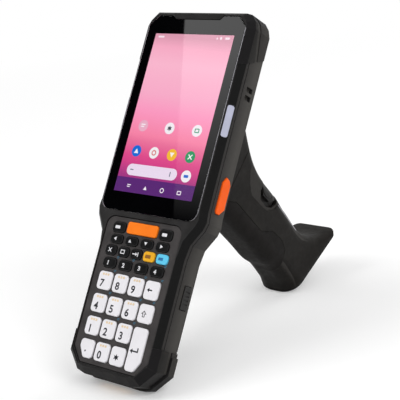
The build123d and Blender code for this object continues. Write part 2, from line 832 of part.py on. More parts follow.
with BuildPart() as front_housing:
    add(terminal_body)
    split(bisect_by=Plane.XY.offset(parting_z), keep=Keep.TOP)
    add(room(), mode=Mode.SUBTRACT)
    add(side_groove_cut.part, mode=Mode.SUBTRACT)
    # bosses for the housing screws, rails that carry the board, wall behind the strap anchors
    with BuildSketch(Plane.XY.offset(parting_z)):
        with Locations(*boss_places):
            Circle(boss_r)
    extrude(amount=plate_under_z - parting_z)
    rail_x = bezel_half - mat_inset + 0.2
    for side in (-1, 1):
        rail_xs = sorted((side * rail_x, side * (rail_x + rail_width)))
        add(block(rail_xs, (-128, -66), (board_face, plate_under_z)))
        pad_xs = sorted((side * (head_half - wall - anchor_pad), side * (head_half - wall)))
        pad_ys = (anchor_y - anchor_size[0] / 2 - 1, anchor_y + anchor_size[0] / 2 + 1)
        pad_zs = (anchor_z - anchor_size[1] / 2 - 1, anchor_z + anchor_size[1] / 2 + 1)
        add(block(pad_xs, pad_ys, pad_zs))
    # glass pocket, display window, keypad recess and its opening
    add(slab(glass_outline, glass_back, everywhere, glass_fit), mode=Mode.SUBTRACT)
    add(block((-panel_half - fit, panel_half + fit), (panel_foot - fit, panel_end + fit),
              (plate_under_z - 1, glass_back)), mode=Mode.SUBTRACT)
    add(slab(bezel_outline, bezel_back, everywhere, bezel_groove), mode=Mode.SUBTRACT)
    add(slab(bezel_outline, plate_under_z - 1, bezel_back, -bezel_seat), mode=Mode.SUBTRACT)
    # holes for side keys, latches, light bars and strap anchors
    with BuildSketch(Plane.YZ.offset(head_half - wall - 2)):
        add(side_key_face(fit))
    extrude(amount=wall + 6, mode=Mode.SUBTRACT)
    with BuildSketch(Plane.YZ.offset(-(head_half - wall - 2))):
        add(side_key_face(fit))
    extrude(amount=-(wall + 6), mode=Mode.SUBTRACT)
    with BuildSketch(Plane.YZ.offset(keypad_half - wall - 2)):
        add(latch_face(fit))
    extrude(amount=wall + 6, mode=Mode.SUBTRACT)
    with BuildSketch(Plane.YZ.offset(-(keypad_half - wall - 2))):
        add(latch_face(fit))
    extrude(amount=-(wall + 6), mode=Mode.SUBTRACT)
    add(anchor_cut(), mode=Mode.SUBTRACT)
    add(light_bars.part, mode=Mode.SUBTRACT)
    # rebates of the bumpers
    add(top_bumper.part, mode=Mode.SUBTRACT)
    add(bottom_bumper.part, mode=Mode.SUBTRACT)
    # scan window
    seat_x = window_size[0] / 2 + glass_fit
    seat_zs = [window_z + side * (window_size[1] / 2 + glass_fit) for side in (-1, 1)]
    view_x = seat_x - window_seat
    view_zs = [window_z + side * (window_size[1] / 2 - window_seat) for side in (-1, 1)]
    window_back = head_end - 0.2 - window_thickness
    add(block((-seat_x, seat_x), (window_back, everywhere), seat_zs), mode=Mode.SUBTRACT)
    add(block((-view_x, view_x), (head_end - 2 * wall, everywhere), view_zs), mode=Mode.SUBTRACT)
    add(dock_contacts.part, mode=Mode.SUBTRACT)
    # pilot holes
    with BuildSketch(Plane.XY.offset(parting_z)):
        with Locations(*boss_places):
            Circle(screw_r)
    extrude(amount=screw_bite, mode=Mode.SUBTRACT)

# the battery takes the whole width between its end faces, with a bulkhead beyond each
battery_gap = (battery_foot - fit, battery_end + fit)
bulkheads = (battery_gap[0] - wall, battery_gap[1] + wall)
with BuildPart() as rear_room:
    add(room())
    add(block((-everywhere, everywhere), bulkheads, (-everywhere, 0)), mode=Mode.SUBTRACT)

with BuildPart() as rear_housing:
    add(terminal_body)
    split(bisect_by=Plane.XY.offset(parting_z), keep=Keep.BOTTOM)
    add(block((-everywhere, everywhere), battery_gap, (-everywhere, 0)), mode=Mode.SUBTRACT)
    add(rear_room.part, mode=Mode.SUBTRACT)
    # floor of the battery bay, which ties head and lower end together
    add(block((-bay_half, bay_half), bulkheads, (parting_z, parting_z + bay_floor)))
    # towers and holes for the housing screws
    with BuildSketch(Plane.XY.offset(parting_z)):
        with Locations(*boss_places):
            Circle(boss_r + wall / 2)
    extrude(amount=room_back - parting_z)
    add(terminal_body, mode=Mode.INTERSECT)
    add(screw_wells.part, mode=Mode.SUBTRACT)
    add(housing_screws.part, mode=Mode.SUBTRACT)
    add(top_bumper.part, mode=Mode.SUBTRACT)
    add(bottom_bumper.part, mode=Mode.SUBTRACT)
    add(block((-seat_x, seat_x), (window_back, everywhere), seat_zs), mode=Mode.SUBTRACT)
    add(block((-view_x, view_x), (head_end - 2 * wall, everywhere), view_zs), mode=Mode.SUBTRACT)
    # camera
    with BuildSketch(Plane.XY.offset(back_face)):
        with Locations((0, camera_y)):
            Circle(camera_r + glass_fit)
    extrude(amount=camera_thickness + 0.2, mode=Mode.SUBTRACT)
    with BuildSketch(Plane.XY.offset(back_face)):
        with Locations((0, camera_y)):
            Circle(camera_hole_r)
    extrude(amount=2 * wall, mode=Mode.SUBTRACT)

with BuildPart() as battery_pack:
    add(terminal_body)
    split(bisect_by=Plane.XY.offset(parting_z - fit), keep=Keep.BOTTOM)
    add(block((-everywhere, everywhere), (battery_foot, battery_end), (-everywhere, 0)),
        mode=Mode.INTERSECT)
    with BuildSketch(Plane.XY.offset(back_face)):
        with Locations((0, battery_end - 12)):
            with GridLocations(0, 2.4 * battery_rib[0], 1, battery_ribs):
                Rectangle(30, battery_rib[0])
    extrude(amount=battery_rib[1], mode=Mode.SUBTRACT)

# ---------------------------------------------------------------- grip bracket
with BuildPart() as neck_spigot:
    add(section_face(grip_plane(neck_s), neck_section, neck_inset))
    extrude(amount=-neck_gap)

with BuildPart() as grip_bracket:
    add(grip_body)
    split(bisect_by=Plane.XY.offset(back_face), keep=Keep.BOTTOM)
    split(bisect_by=grip_plane(neck_s), keep=Keep.TOP)
    # a narrower end keeps the grip shells off the neck
    add(neck_spigot.part)
    with BuildSketch(Plane.XY.offset(back_face)):
        with Locations((0, sum(bracket_y) / 2)):
            RectangleRounded(2 * bracket_half, bracket_y[1] - bracket_y[0], bracket_round)
    extrude(amount=bracket_thickness, dir=(0, 0, -1))

# ---------------------------------------------------------------- grip shells and over-mould
with BuildPart() as grip_overmould:
    add(grip_body)
    add(grip_form(overmould_depth), mode=Mode.SUBTRACT)
    add(side_prism(overmould_line, 30), mode=Mode.INTERSECT)

overmould_groove_cut = side_prism(overmould_line, 20, grip_half - overmould_groove[1],
                                  overmould_groove[0])

throat_top = trigger_top - throat_gap
throat_foot = trigger_foot + trigger_foot_gap
throat_rear = trigger_pin_at[1] - trigger_boss_r - 1
throat_line = ((throat_top, throat_rear), (throat_top, 60), (throat_foot, 60), (throat_foot, 0),
               (trigger_pin_at[0] + 6, 0))
rib_line = ((spring_s - 9, spring_seat_q), (spring_s + 9, spring_seat_q),
            (spring_s + 9, spring_seat_q - spring_rib), (spring_s - 9, spring_seat_q - spring_rib))
with BuildPart() as grip_room:
    add(grip_form(grip_wall))
    split(bisect_by=grip_plane(neck_s + neck_gap), keep=Keep.BOTTOM)
    # the walls beside the trigger stay flat
    add(side_prism(throat_line, trigger_half + fit))
    # cross-bosses for the screws, and the rib that carries the trigger spring
    for distance, forward in grip_screw_places:
        with BuildSketch(grip_side.offset(-grip_wall - grip_half)):
            with Locations((forward, -distance)):
                Circle(grip_boss_r)
        extrude(amount=2 * (grip_wall + grip_half), mode=Mode.SUBTRACT)
    add(side_prism(rib_line, 20), mode=Mode.SUBTRACT)

with BuildPart() as grip_whole:
    add(grip_body)
    split(bisect_by=grip_plane(neck_s + neck_gap), keep=Keep.BOTTOM)
    add(grip_room.part, mode=Mode.SUBTRACT)
    add(side_prism(throat_line, trigger_half + fit), mode=Mode.SUBTRACT)
    add(side_prism(cut_out_line, 20), mode=Mode.SUBTRACT)
    add(side_prism(band_line, 20, grip_half - band_depth), mode=Mode.SUBTRACT)
    add(grip_overmould.part, mode=Mode.SUBTRACT)
    add(overmould_groove_cut, mode=Mode.SUBTRACT)
    # holes for the trigger pin and the grip screws
    with BuildSketch(grip_side.offset(-trigger_pin_half)):
        with Locations((trigger_pin_at[1], -trigger_pin_at[0])):
            Circle(trigger_pin_r)
    extrude(amount=2 * trigger_pin_half, mode=Mode.SUBTRACT)
    screw_seat_x = -(grip_half - grip_screw_sink - grip_screw_head)
    with BuildSketch(grip_side.offset(screw_seat_x)):
        with Locations(*side_points(grip_screw_places)):
            Circle(grip_screw_head_r + fit)
    extrude(amount=-everywhere, mode=Mode.SUBTRACT)
    with BuildSketch(grip_side.offset(screw_seat_x)):
        with Locations(*side_points(grip_screw_places)):
            Circle(grip_screw_r)
    extrude(amount=grip_screw_reach - screw_seat_x, mode=Mode.SUBTRACT)

with BuildPart() as grip_shell_left:
    add(grip_whole.part)
    split(bisect_by=Plane.YZ, keep=Keep.BOTTOM)

with BuildPart() as grip_shell_right:
    add(grip_whole.part)
    split(bisect_by=Plane.YZ, keep=Keep.TOP)

with BuildPart() as grip_screws:
    with BuildSketch(grip_side.offset(screw_seat_x)):
        with Locations(*side_points(grip_screw_places)):
            Circle(grip_screw_head_r)
    extrude(amount=-grip_screw_head)
    with BuildSketch(grip_side.offset(screw_seat_x)):
        with Locations(*side_points(grip_screw_places)):
            Circle(grip_screw_r)
    extrude(amount=grip_screw_reach - screw_seat_x)

# ---------------------------------------------------------------- trigger, pin and spring
lever_line = (
    (trigger_top, 60), (trigger_top, trigger_pin_at[1] - 1), (trigger_pin_at[0] + 7, trigger_rear),
    (trigger_foot - 1, trigger_rear), (trigger_foot, trigger_rear + 1), (trigger_foot, 60),
)
with BuildPart() as trigger_groove_cut:
    with BuildSketch(grip_side.offset(trigger_half)):
        with Locations(*side_points([trigger_groove_at])):
            for radius in trigger_groove_radii:
                Circle(radius + trigger_groove[0] / 2)
                Circle(radius - trigger_groove[0] / 2, mode=Mode.SUBTRACT)
    extrude(amount=5)
    mirror(about=Plane.YZ)
    add(grip_form(trigger_sink + trigger_groove[1]), mode=Mode.SUBTRACT)

with BuildPart() as trigger:
    add(side_prism(lever_line, trigger_half))
    add(side_prism(ear_line, 20))
    with BuildSketch(grip_side.offset(-trigger_half)):
        with Locations((trigger_pin_at[1], -trigger_pin_at[0])):
            Circle(trigger_boss_r)
    extrude(amount=2 * trigger_half)
    add(grip_form(trigger_sink), mode=Mode.INTERSECT)
    add(trigger_groove_cut.part, mode=Mode.SUBTRACT)
    with BuildSketch(grip_side.offset(-trigger_half - 1)):
        with Locations((trigger_pin_at[1], -trigger_pin_at[0])):
            Circle(trigger_pin_r + pin_fit)
    extrude(amount=2 * trigger_half + 2, mode=Mode.SUBTRACT)

with BuildPart() as trigger_pin:
    with BuildSketch(grip_side.offset(-trigger_pin_half)):
        with Locations((trigger_pin_at[1], -trigger_pin_at[0])):
            Circle(trigger_pin_r)
    extrude(amount=2 * trigger_pin_half)

with BuildPart() as trigger_spring:
    spring_gap = 0.1
    spring_length = trigger_rear - spring_seat_q - 2 * (spring_gap + spring_wire_r)
    spring_start = grip_point(spring_s, spring_seat_q + spring_gap + spring_wire_r)
    spring_axis = grip_side.x_dir
    with BuildLine() as coil:
        Helix(spring_length / spring_turns, spring_length, spring_r, center=spring_start,
              direction=spring_axis)
    with BuildSketch(Plane(origin=coil.line @ 0, z_dir=coil.line % 0)):
        Circle(spring_wire_r)
    sweep(path=coil.line)

# ---------------------------------------------------------------- base pad
with BuildPart() as base_pad:
    add(section_face(foot_plane(0), foot_sections[-1], pad_inset))
    extrude(amount=pad_thickness)
    with BuildSketch(foot_plane(0)):
        with Locations((0, 30)):
            with GridLocations(0, 7, 1, pad_grooves):
                Rectangle(20, pad_groove[0])
    extrude(amount=pad_groove[1], mode=Mode.SUBTRACT)

# ---------------------------------------------------------------- stand it up and write it
pieces = {
    "front_housing": front_housing, "rear_housing": rear_housing, "top_bumper": top_bumper,
    "bottom_bumper": bottom_bumper, "touch_glass": touch_glass, "display_panel": display_panel,
    "keypad_bezel": keypad_bezel, "key_mat": key_mat, "main_board": main_board,
    "battery_pack": battery_pack, "battery_latch_left": battery_latch_left,
    "battery_latch_right": battery_latch_right, "scan_key_left": scan_key_left,
    "scan_key_right": scan_key_right, "light_bars": light_bars, "scan_engine": scan_engine,
    "scan_window": scan_window, "camera_lens": camera_lens, "dock_contacts": dock_contacts,
    "housing_screws": housing_screws, "grip_bracket": grip_bracket,
    "grip_shell_left": grip_shell_left, "grip_shell_right": grip_shell_right,
    "grip_overmould": grip_overmould, "grip_screws": grip_screws, "trigger": trigger,
    "trigger_pin": trigger_pin, "trigger_spring": trigger_spring, "base_pad": base_pad,
}
solids = {name: piece.part for name, piece in pieces.items()}
solids.update({name: key_solid(key) for name, key in keys.items()})

# the device rests on the lower bumper's rear edge and on the heel of the base pad
toe_edge = Vector(0, lower_end - heel_proud, side_foot_z)
heel_edge = foot_plane(0).from_local_coords((0, foot_sections[-1].rear + pad_inset, 0))
rest_line = heel_edge - toe_edge
stance_angle = degrees(atan2(-rest_line.Z, rest_line.Y))
turned = Rot(X=stance_angle) * Compound(list(solids.values()))
box = turned.bounding_box()
stance = Pos(0, -(box.min.Y + box.max.Y) / 2, -box.min.Z) * Rot(X=stance_angle)

for name, solid in solids.items():
    placed = stance * solid
    placed.label = name
    export_step(placed, f"parts/{name}.step")
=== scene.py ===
"""Looks of the rugged data terminal with a pistol grip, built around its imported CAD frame.

The pieces made here are drawn in the terminal's own frame, in millimetres: x to its right,
y towards its top end, z out of its screen, origin at the centre of the display. on_terminal
turns that frame into the scene's frame in metres.
"""

import bmesh
import bpy
import json
from math import atan2, cos, pi, radians, sin
from mathutils import Matrix, Vector
from mathutils.bvhtree import BVHTree


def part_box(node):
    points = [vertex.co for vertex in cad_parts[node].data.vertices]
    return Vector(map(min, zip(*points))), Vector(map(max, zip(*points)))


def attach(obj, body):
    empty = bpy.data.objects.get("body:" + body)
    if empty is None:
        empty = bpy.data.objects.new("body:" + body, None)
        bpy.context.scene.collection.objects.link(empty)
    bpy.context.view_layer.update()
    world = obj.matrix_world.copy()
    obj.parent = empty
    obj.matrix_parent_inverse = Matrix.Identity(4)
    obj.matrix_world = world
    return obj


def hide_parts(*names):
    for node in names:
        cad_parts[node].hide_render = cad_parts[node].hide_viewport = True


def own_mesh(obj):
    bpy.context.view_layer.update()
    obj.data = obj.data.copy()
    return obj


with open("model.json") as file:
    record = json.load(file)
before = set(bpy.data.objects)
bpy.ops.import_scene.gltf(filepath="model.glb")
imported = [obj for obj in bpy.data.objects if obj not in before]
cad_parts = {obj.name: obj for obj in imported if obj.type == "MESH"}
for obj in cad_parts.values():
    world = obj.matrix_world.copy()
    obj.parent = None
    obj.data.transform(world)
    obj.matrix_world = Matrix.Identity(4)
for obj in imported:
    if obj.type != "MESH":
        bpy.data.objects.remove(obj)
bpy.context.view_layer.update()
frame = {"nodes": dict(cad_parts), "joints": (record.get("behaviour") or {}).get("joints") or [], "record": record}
scene = bpy.context.scene
nodes = frame["nodes"]

MM = 0.001                    # one millimetre in metres

# ---------------------------------------------------------------- the terminal's own frame
glass_face = 0.9              # heights of the glass's face and of its back
glass_back = -0.2
# the keys are pressed straight into the terminal, so their joints tell how far it leans
press = Vector(next(j["axis"] for j in frame["joints"] if j["name"] == "key_5_press"))
lean = atan2(press.y, -press.z)
glass_low, glass_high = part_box("touch_glass")
on_terminal = (
    Matrix.Translation((glass_low + glass_high) / 2)
    @ Matrix.Rotation(lean, 4, "X")
    @ Matrix.Scale(MM, 4)
    @ Matrix.Translation((0, 0, -(glass_face + glass_back) / 2))
)


def extent(node):
    """Return a CAD node's lowest and highest corner in the terminal's frame."""
    to_terminal = on_terminal.inverted()
    points = [to_terminal @ v.co for v in nodes[node].data.vertices]
    low = Vector(min(p[i] for p in points) for i in range(3))
    high = Vector(max(p[i] for p in points) for i in range(3))
    return low, high


# ---------------------------------------------------------------- camera
# places in the terminal's frame, millimetres
camera_at = Vector((379.43, -123.05, 442.53))
camera_target = Vector((12.9, -40.7, -25.3))
camera_roll = radians(-5.34)
camera_lens = 97.1            # on the default 36 mm sensor


def place_camera():
    """Put the camera at the photograph's viewing angle."""
    data = bpy.data.cameras.new("camera")
    data.lens = camera_lens
    data.clip_end = 50
    camera = bpy.data.objects.new("camera", data)
    scene.collection.objects.link(camera)
    at = on_terminal @ camera_at
    sight = on_terminal @ camera_target - at
    turn = sight.to_track_quat("-Z", "Y").to_matrix().to_4x4()
    camera.matrix_world = Matrix.Translation(at) @ turn @ Matrix.Rotation(camera_roll, 4, "Z")
    scene.camera = camera


# ---------------------------------------------------------------- node helpers
def colour(red, green, blue):
    """Return the linear colour of an sRGB colour from 0 to 255."""
    def linear(value):
        value /= 255
        return value / 12.92 if value <= 0.04045 else ((value + 0.055) / 1.055) ** 2.4
    return (linear(red), linear(green), linear(blue), 1.0)


mix_sockets = (0, 6, 7)       # a colour mix node's amount and its two colours
# cosines of a surface's turn between which these masks fade
edge_turn = (0.90, 0.995)     # edges painted lighter, partly rubbed and partly painted highlight
slope_turn = (0.25, 0.4)      # the sloping rim, painted darker there as painted shade
side_turn = (0.8, 0.9)        # the side walls, painted lighter towards the back as painted light


class Nodes:
    """A material's node tree, with short calls for what the finishes share."""

    def __init__(self, name):
        self.material = bpy.data.materials.new(name)
        self.material.use_nodes = True
        self.tree = self.material.node_tree
        self.shader = self.tree.nodes["Principled BSDF"]
        self.place = self.add("ShaderNodeTexCoord").outputs["Object"]

    def add(self, kind, **values):
        """Add a node and set its properties and inputs by name."""
        node = self.tree.nodes.new(kind)
        for name, value in values.items():
            if hasattr(node, name):
                setattr(node, name, value)
            else:
                self.put(node.inputs[name.replace("_", " ")], value)
        return node

    def put(self, socket, value):
        """Link an input to another node, or set it to a value."""
        if hasattr(value, "links"):
            self.tree.links.new(value, socket)
        else:
            socket.default_value = value

    def feed(self, name, value):
        """Link or set one input of the shader."""
        self.put(self.shader.inputs[name], value)

    def noise(self, size, detail=2.0, rough=0.5):
        """Return noise with features of a size in millimetres."""
        node = self.add("ShaderNodeTexNoise", Vector=self.place, Scale=1 / (size * MM),
                        Detail=detail, Roughness=rough)
        return node.outputs["Fac"]

    def spread(self, value, low, high, start=0.3, end=0.7):
        """Return a value mapped from start..end to low..high; noise lies mostly in 0.3..0.7."""
        node = self.add("ShaderNodeMapRange", Value=value, From_Min=start, From_Max=end,
                        To_Min=low, To_Max=high)
        return node.outputs["Result"]

    def mix(self, amount, first, second):
        """Return the mix of two colours."""
        node = self.add("ShaderNodeMix", data_type="RGBA")
        for i, value in zip(mix_sockets, (amount, first, second)):
            self.put(node.inputs[i], value)
        return node.outputs[2]

    def math(self, operation, first, second):
        """Return the result of a math node."""
        node = self.add("ShaderNodeMath", operation=operation)
        for socket, value in zip(node.inputs, (first, second)):
            self.put(socket, value)
        return node.outputs[0]

    def dot(self, first, second):
        """Return the dot product of two vectors."""
        node = self.add("ShaderNodeVectorMath", operation="DOT_PRODUCT")
        for socket, value in zip(node.inputs, (first, second)):
            self.put(socket, value)
        return node.outputs["Value"]

    def edges(self, radius):
        """Return a rounded normal and a mask that is 1 on the edges it rounds."""
        soft = self.add("ShaderNodeBevel", samples=4, Radius=radius * MM).outputs["Normal"]
        flat = self.add("ShaderNodeNewGeometry").outputs["Normal"]
        return soft, self.spread(self.dot(soft, flat), 1.0, 0.0, *edge_turn)

    def facing(self, direction):
        """Return how far the surface faces a direction of the terminal's frame, from -1 to 1."""
        way = (on_terminal.to_3x3() @ Vector(direction)).normalized()
        return self.dot(self.add("ShaderNodeNewGeometry").outputs["True Normal"], way)

    def aside(self):
        """Return how far the surface faces to either side, from 0 to 1."""
        return self.math("ABSOLUTE", self.facing((1, 0, 0)), 0.0)

    def slope(self):
        """Return a mask that is 1 on the sloping rim, between the front and the side walls, for painted shade."""
        ahead = self.facing((0, 0, 1))
        return self.math("MULTIPLY", self.spread(self.aside(), 0.0, 1.0, *slope_turn),
                         self.spread(ahead, 0.0, 1.0, *slope_turn))

    def side(self):
        """Return a mask that is 1 on the terminal's side walls."""
        return self.spread(self.aside(), 0.0, 1.0, *side_turn)

    def height(self):
        """Return the height over the display, in millimetres of the terminal's frame."""
        row = on_terminal.inverted()[2]
        return self.math("ADD", self.dot(self.place, row.xyz), row.w)

    def sunk(self, half):
        """Return a mask that is 1 on faces to the side that lie nearer the middle than half."""
        across = self.add("ShaderNodeSeparateXYZ", Vector=self.place).outputs["X"]
        inside = self.math("LESS_THAN", self.math("ABSOLUTE", across, 0.0), half * MM)
        return self.math("MULTIPLY", inside, self.side())

    def bump(self, height, depth, normal=None):
        """Return a normal with a relief of a depth in millimetres."""
        node = self.add("ShaderNodeBump", Height=height, Distance=depth * MM, Strength=1.0)
        if normal:
            self.put(node.inputs["Normal"], normal)
        return node.outputs["Normal"]


band_half = 13.4              # the sunk face round the trigger, painted lighter as painted light, lies nearer to the middle than this
wall_run = (-13.0, -4.0)      # heights between which the painted light on the side walls fades, lighter at the back
# sizes of the marks in moulded plastic and rubber, millimetres
patch_size = 9.0
# patches of the lighter edges, rubbed and painted highlight
rub_and_glint_size = 1.6
gloss_patch_size = 2.5
gloss_vary = 0.06
least_rub_and_highlight = 0.004              # how much lighter the edges are at least, rubbed and painted highlight
black = (0.0, 0.0, 0.0, 1.0)
white = (1.0, 1.0, 1.0, 1.0)


def shaded(base, factor, lift=0.0):
    """Return a colour made darker or lighter."""
    return tuple(min(1.0, c * factor + lift) for c in base[:3]) + (1.0,)


def moulded(name, base, roughness=0.5, grain=0.35, depth=0.02, edge=0.35, vary=0.25,
            specular=0.4, wear=1.6, rim=None, side_light=None, recess_light=None):
    """Return moulded plastic or rubber: grain, uneven gloss, and edges a little lighter, partly
    rubbed and partly painted highlight.

    The rim's colour is painted shade on the terminal's sloping rim; the side walls' two colours are
    painted light, from the first at the back to the second at the front; the colour for the sunk
    face round the trigger is painted light there.
    """
    n = Nodes(name)
    body = n.mix(n.spread(n.noise(patch_size, detail=3.0), 0.0, 1.0), shaded(base, 1 - vary),
                 shaded(base, 1 + vary))
    if rim:
        body = n.mix(n.slope(), body, rim)
    if side_light:
        wall = n.mix(n.spread(n.height(), 0.0, 1.0, *wall_run), *side_light)
        body = n.mix(n.side(), body, wall)
    if recess_light:
        body = n.mix(n.sunk(band_half), body, recess_light)
    soft, mask = n.edges(edge)
    # the edges are painted lighter in patches: partly rubbed, partly painted highlight
    rub_and_glint_patches = n.spread(n.noise(rub_and_glint_size, detail=4.0), 0.35, 1.0, start=0.4, end=0.62)
    n.feed("Base Color", n.mix(n.math("MULTIPLY", mask, rub_and_glint_patches), body,
                               shaded(base, wear, least_rub_and_highlight)))
    n.feed("Roughness", n.spread(n.noise(gloss_patch_size, detail=3.0),
                                 roughness - gloss_vary, roughness + gloss_vary))
    n.feed("Normal", n.bump(n.noise(grain), depth, soft))
    n.feed("Specular IOR Level", specular)
    return n.material


def key_cap(name, rgb, **finish):
    """Return the smooth plastic of a light or coloured key."""
    return moulded(name, colour(*rgb), roughness=0.4, grain=0.5, depth=0.006, **finish)


def ink(name, rgb, vary):
    """Return printing ink."""
    return moulded(name, colour(*rgb), roughness=0.5, grain=0.6, depth=0.002, vary=vary,
                   wear=1.0)


# sizes of the marks in metal, millimetres
tarnish_size = 3.0
turning_size = 0.8
pitting_size = 0.2
pitting_depth = 0.004
metal_edge = 0.15
tarnish_lift = 1.15           # how much lighter its pale patches are


def metal(name, base, roughness=0.3, brush=0.15):
    """Return machined metal with fine turning marks."""
    n = Nodes(name)
    n.feed("Base Color", n.mix(n.spread(n.noise(tarnish_size, detail=3.0), 0.0, 1.0), base,
                               shaded(base, tarnish_lift)))
    n.feed("Metallic", 1.0)
    n.feed("Roughness", n.spread(n.noise(turning_size, detail=3.0), roughness - brush / 2,
                                 roughness + brush))
    soft, _ = n.edges(metal_edge)
    n.feed("Normal", n.bump(n.noise(pitting_size), pitting_depth, soft))
    return n.material


# sizes of the unevenness in glass and in the lit display, millimetres
smear_size = 14.0
tint_size = 20.0
lit_patch_size = 6.0


def clear(name):
    """Return clear glass with the faintest smears."""
    n = Nodes(name)
    n.feed("Base Color", white)
    n.feed("Transmission Weight", 1.0)
    n.feed("IOR", 1.46)
    n.feed("Roughness", n.spread(n.noise(smear_size), 0.01, 0.03))
    return n.material


def polished(name, base):
    """Return black glass with the faintest smears."""
    n = Nodes(name)
    n.feed("Base Color", n.mix(n.spread(n.noise(tint_size), 0.0, 1.0), base,
                               shaded(base, 1.5)))
    n.feed("Roughness", n.spread(n.noise(smear_size), 0.01, 0.025))
    n.feed("Specular IOR Level", 0.5)
    return n.material


def lit(n, shown):
    """Finish a material as part of the display, which is black and shines with what it shows."""
    n.feed("Base Color", black)
    n.feed("Emission Color", shown)
    n.feed("Emission Strength", 1.0)
    n.feed("Roughness", 0.6)
    n.feed("Specular IOR Level", 0.0)
    return n.material


def glowing(name, base, grain=0.05):
    """Return a lit part of the display in one colour, a little uneven."""
    n = Nodes(name)
    shade = n.spread(n.noise(lit_patch_size), 1.0 - grain, 1.0)
    return lit(n, n.mix(shade, shaded(base, 1 - grain), base))


# ---------------------------------------------------------------- pieces from outlines
def new_piece(name, mesh, material, body):
    """Link a mesh as a piece that rides on a body."""
    piece = bpy.data.objects.new(name, mesh)
    scene.collection.objects.link(piece)
    mesh.materials.clear()
    mesh.materials.append(material)
    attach(piece, body)
    return piece


def mesh_of(curve):
    """Return a curve's solid and delete the curve."""
    carrier = bpy.data.objects.new(curve.name, curve)
    mesh = bpy.data.meshes.new_from_object(carrier)
    bpy.data.objects.remove(carrier)
    bpy.data.curves.remove(curve)
    return mesh


def plate_mesh(name, loops, bottom, top, bevel=0.0):
    """Return the solid between two heights inside some outlines, in the scene's frame."""
    curve = bpy.data.curves.new(name, "CURVE")
    curve.dimensions = "2D"
    curve.fill_mode = "BOTH"
    for loop in loops:
        spline = curve.splines.new("POLY")
        spline.points.add(len(loop) - 1)
        for point, (x, y) in zip(spline.points, loop):
            point.co = (x, y, 0, 1)
        spline.use_cyclic_u = True
    curve.extrude = (top - bottom) / 2 - bevel
    curve.bevel_depth = bevel
    curve.bevel_resolution = 2
    curve.offset = -bevel
    mesh = mesh_of(curve)
    mesh.transform(on_terminal @ Matrix.Translation((0, 0, (bottom + top) / 2)))
    mesh.use_auto_texspace = True
    return mesh


def plate(name, loops, bottom, top, material, body, slot, bevel=0.0):
    """Add a flat piece with the given outlines; a loop inside another is a hole."""
    return new_piece(name, plate_mesh(name, loops, bottom, top, bevel), material, body)


def disc(x, y, radius, count=32):
    """Return a circle's points."""
    return [(x + radius * cos(2 * pi * i / count), y + radius * sin(2 * pi * i / count))
            for i in range(count)]


def rounded(x, y, width, height, radius, count=6):
    """Return a rounded rectangle's points."""
    points = []
    for turn, (sx, sy) in enumerate(((1, 1), (-1, 1), (-1, -1), (1, -1))):
        cx = x + sx * (width / 2 - radius)
        cy = y + sy * (height / 2 - radius)
        for i in range(count + 1):
            angle = pi / 2 * (turn + i / count)
            points.append((cx + radius * cos(angle), cy + radius * sin(angle)))
    return points


def moved(shape, x, y, size=1.0):
    """Return a shape's loops scaled and moved."""
    return [[(x + size * px, y + size * py) for px, py in loop] for loop in shape]


# simple signs inside a square of side 1 round the origin
signs = {
    "left": [[(0.42, 0.5), (-0.45, 0.0), (0.42, -0.5)]],
    "right": [[(-0.42, 0.5), (-0.42, -0.5), (0.45, 0.0)]],
    "up": [[(-0.5, -0.42), (0.5, -0.42), (0.0, 0.45)]],
    "down": [[(-0.5, 0.42), (0.0, -0.45), (0.5, 0.42)]],
    "block": [rounded(0, 0, 1.0, 0.5, 0.12)],
    "cross": [[(-0.5, 0.36), (-0.36, 0.5), (0.0, 0.14), (0.36, 0.5), (0.5, 0.36), (0.14, 0.0),
               (0.5, -0.36), (0.36, -0.5), (0.0, -0.14), (-0.36, -0.5), (-0.5, -0.36),
               (-0.14, 0.0)]],
    "frame": [rounded(0, 0, 1.0, 0.8, 0.15), rounded(0, 0, 0.66, 0.46, 0.06)[::-1]],
    "tab": [[(-0.6, 0.09), (0.05, 0.09), (0.05, 0.34), (0.42, 0.0), (0.05, -0.34),
             (0.05, -0.09), (-0.6, -0.09)], [(0.46, 0.36), (0.62, 0.36), (0.62, -0.36),
                                             (0.46, -0.36)]],
    "bars": [rounded(0, 0.26, 1.0, 0.2, 0.09), rounded(-0.12, -0.14, 0.76, 0.2, 0.09)],
    "arrow": [[(-0.6, 0.0), (-0.1, 0.4), (-0.1, 0.12), (0.6, 0.12), (0.6, -0.12),
               (-0.1, -0.12), (-0.1, -0.4)]],
    "shift": [[(0.0, 0.55), (0.55, 0.0), (0.24, 0.0), (0.24, -0.5), (-0.24, -0.5),
               (-0.24, 0.0), (-0.55, 0.0)], [(0.0, 0.36), (-0.28, 0.09), (-0.12, 0.09),
                                             (-0.12, -0.38), (0.12, -0.38), (0.12, 0.09),
                                             (0.28, 0.09)]],
    "return": [[(-0.7, -0.1), (-0.28, 0.24), (-0.28, 0.0), (0.5, 0.0), (0.5, 0.42),
                (0.7, 0.42), (0.7, -0.2), (-0.28, -0.2), (-0.28, -0.44)]],
    "dot": [disc(0, 0, 0.5, 16)],
    "spark": [[(0.0, 0.55), (0.15, 0.2), (0.5, 0.32), (0.32, 0.0), (0.5, -0.32),
               (0.15, -0.2), (0.0, -0.55), (-0.15, -0.2), (-0.5, -0.32), (-0.32, 0.0),
               (-0.5, 0.32), (-0.15, 0.2)]],
    "ring": [disc(0, 0, 0.5, 24), disc(0, 0, 0.33, 24)[::-1]],
}
digit_weight = 0.025          # how far the digits' outlines grow, as a share of their size


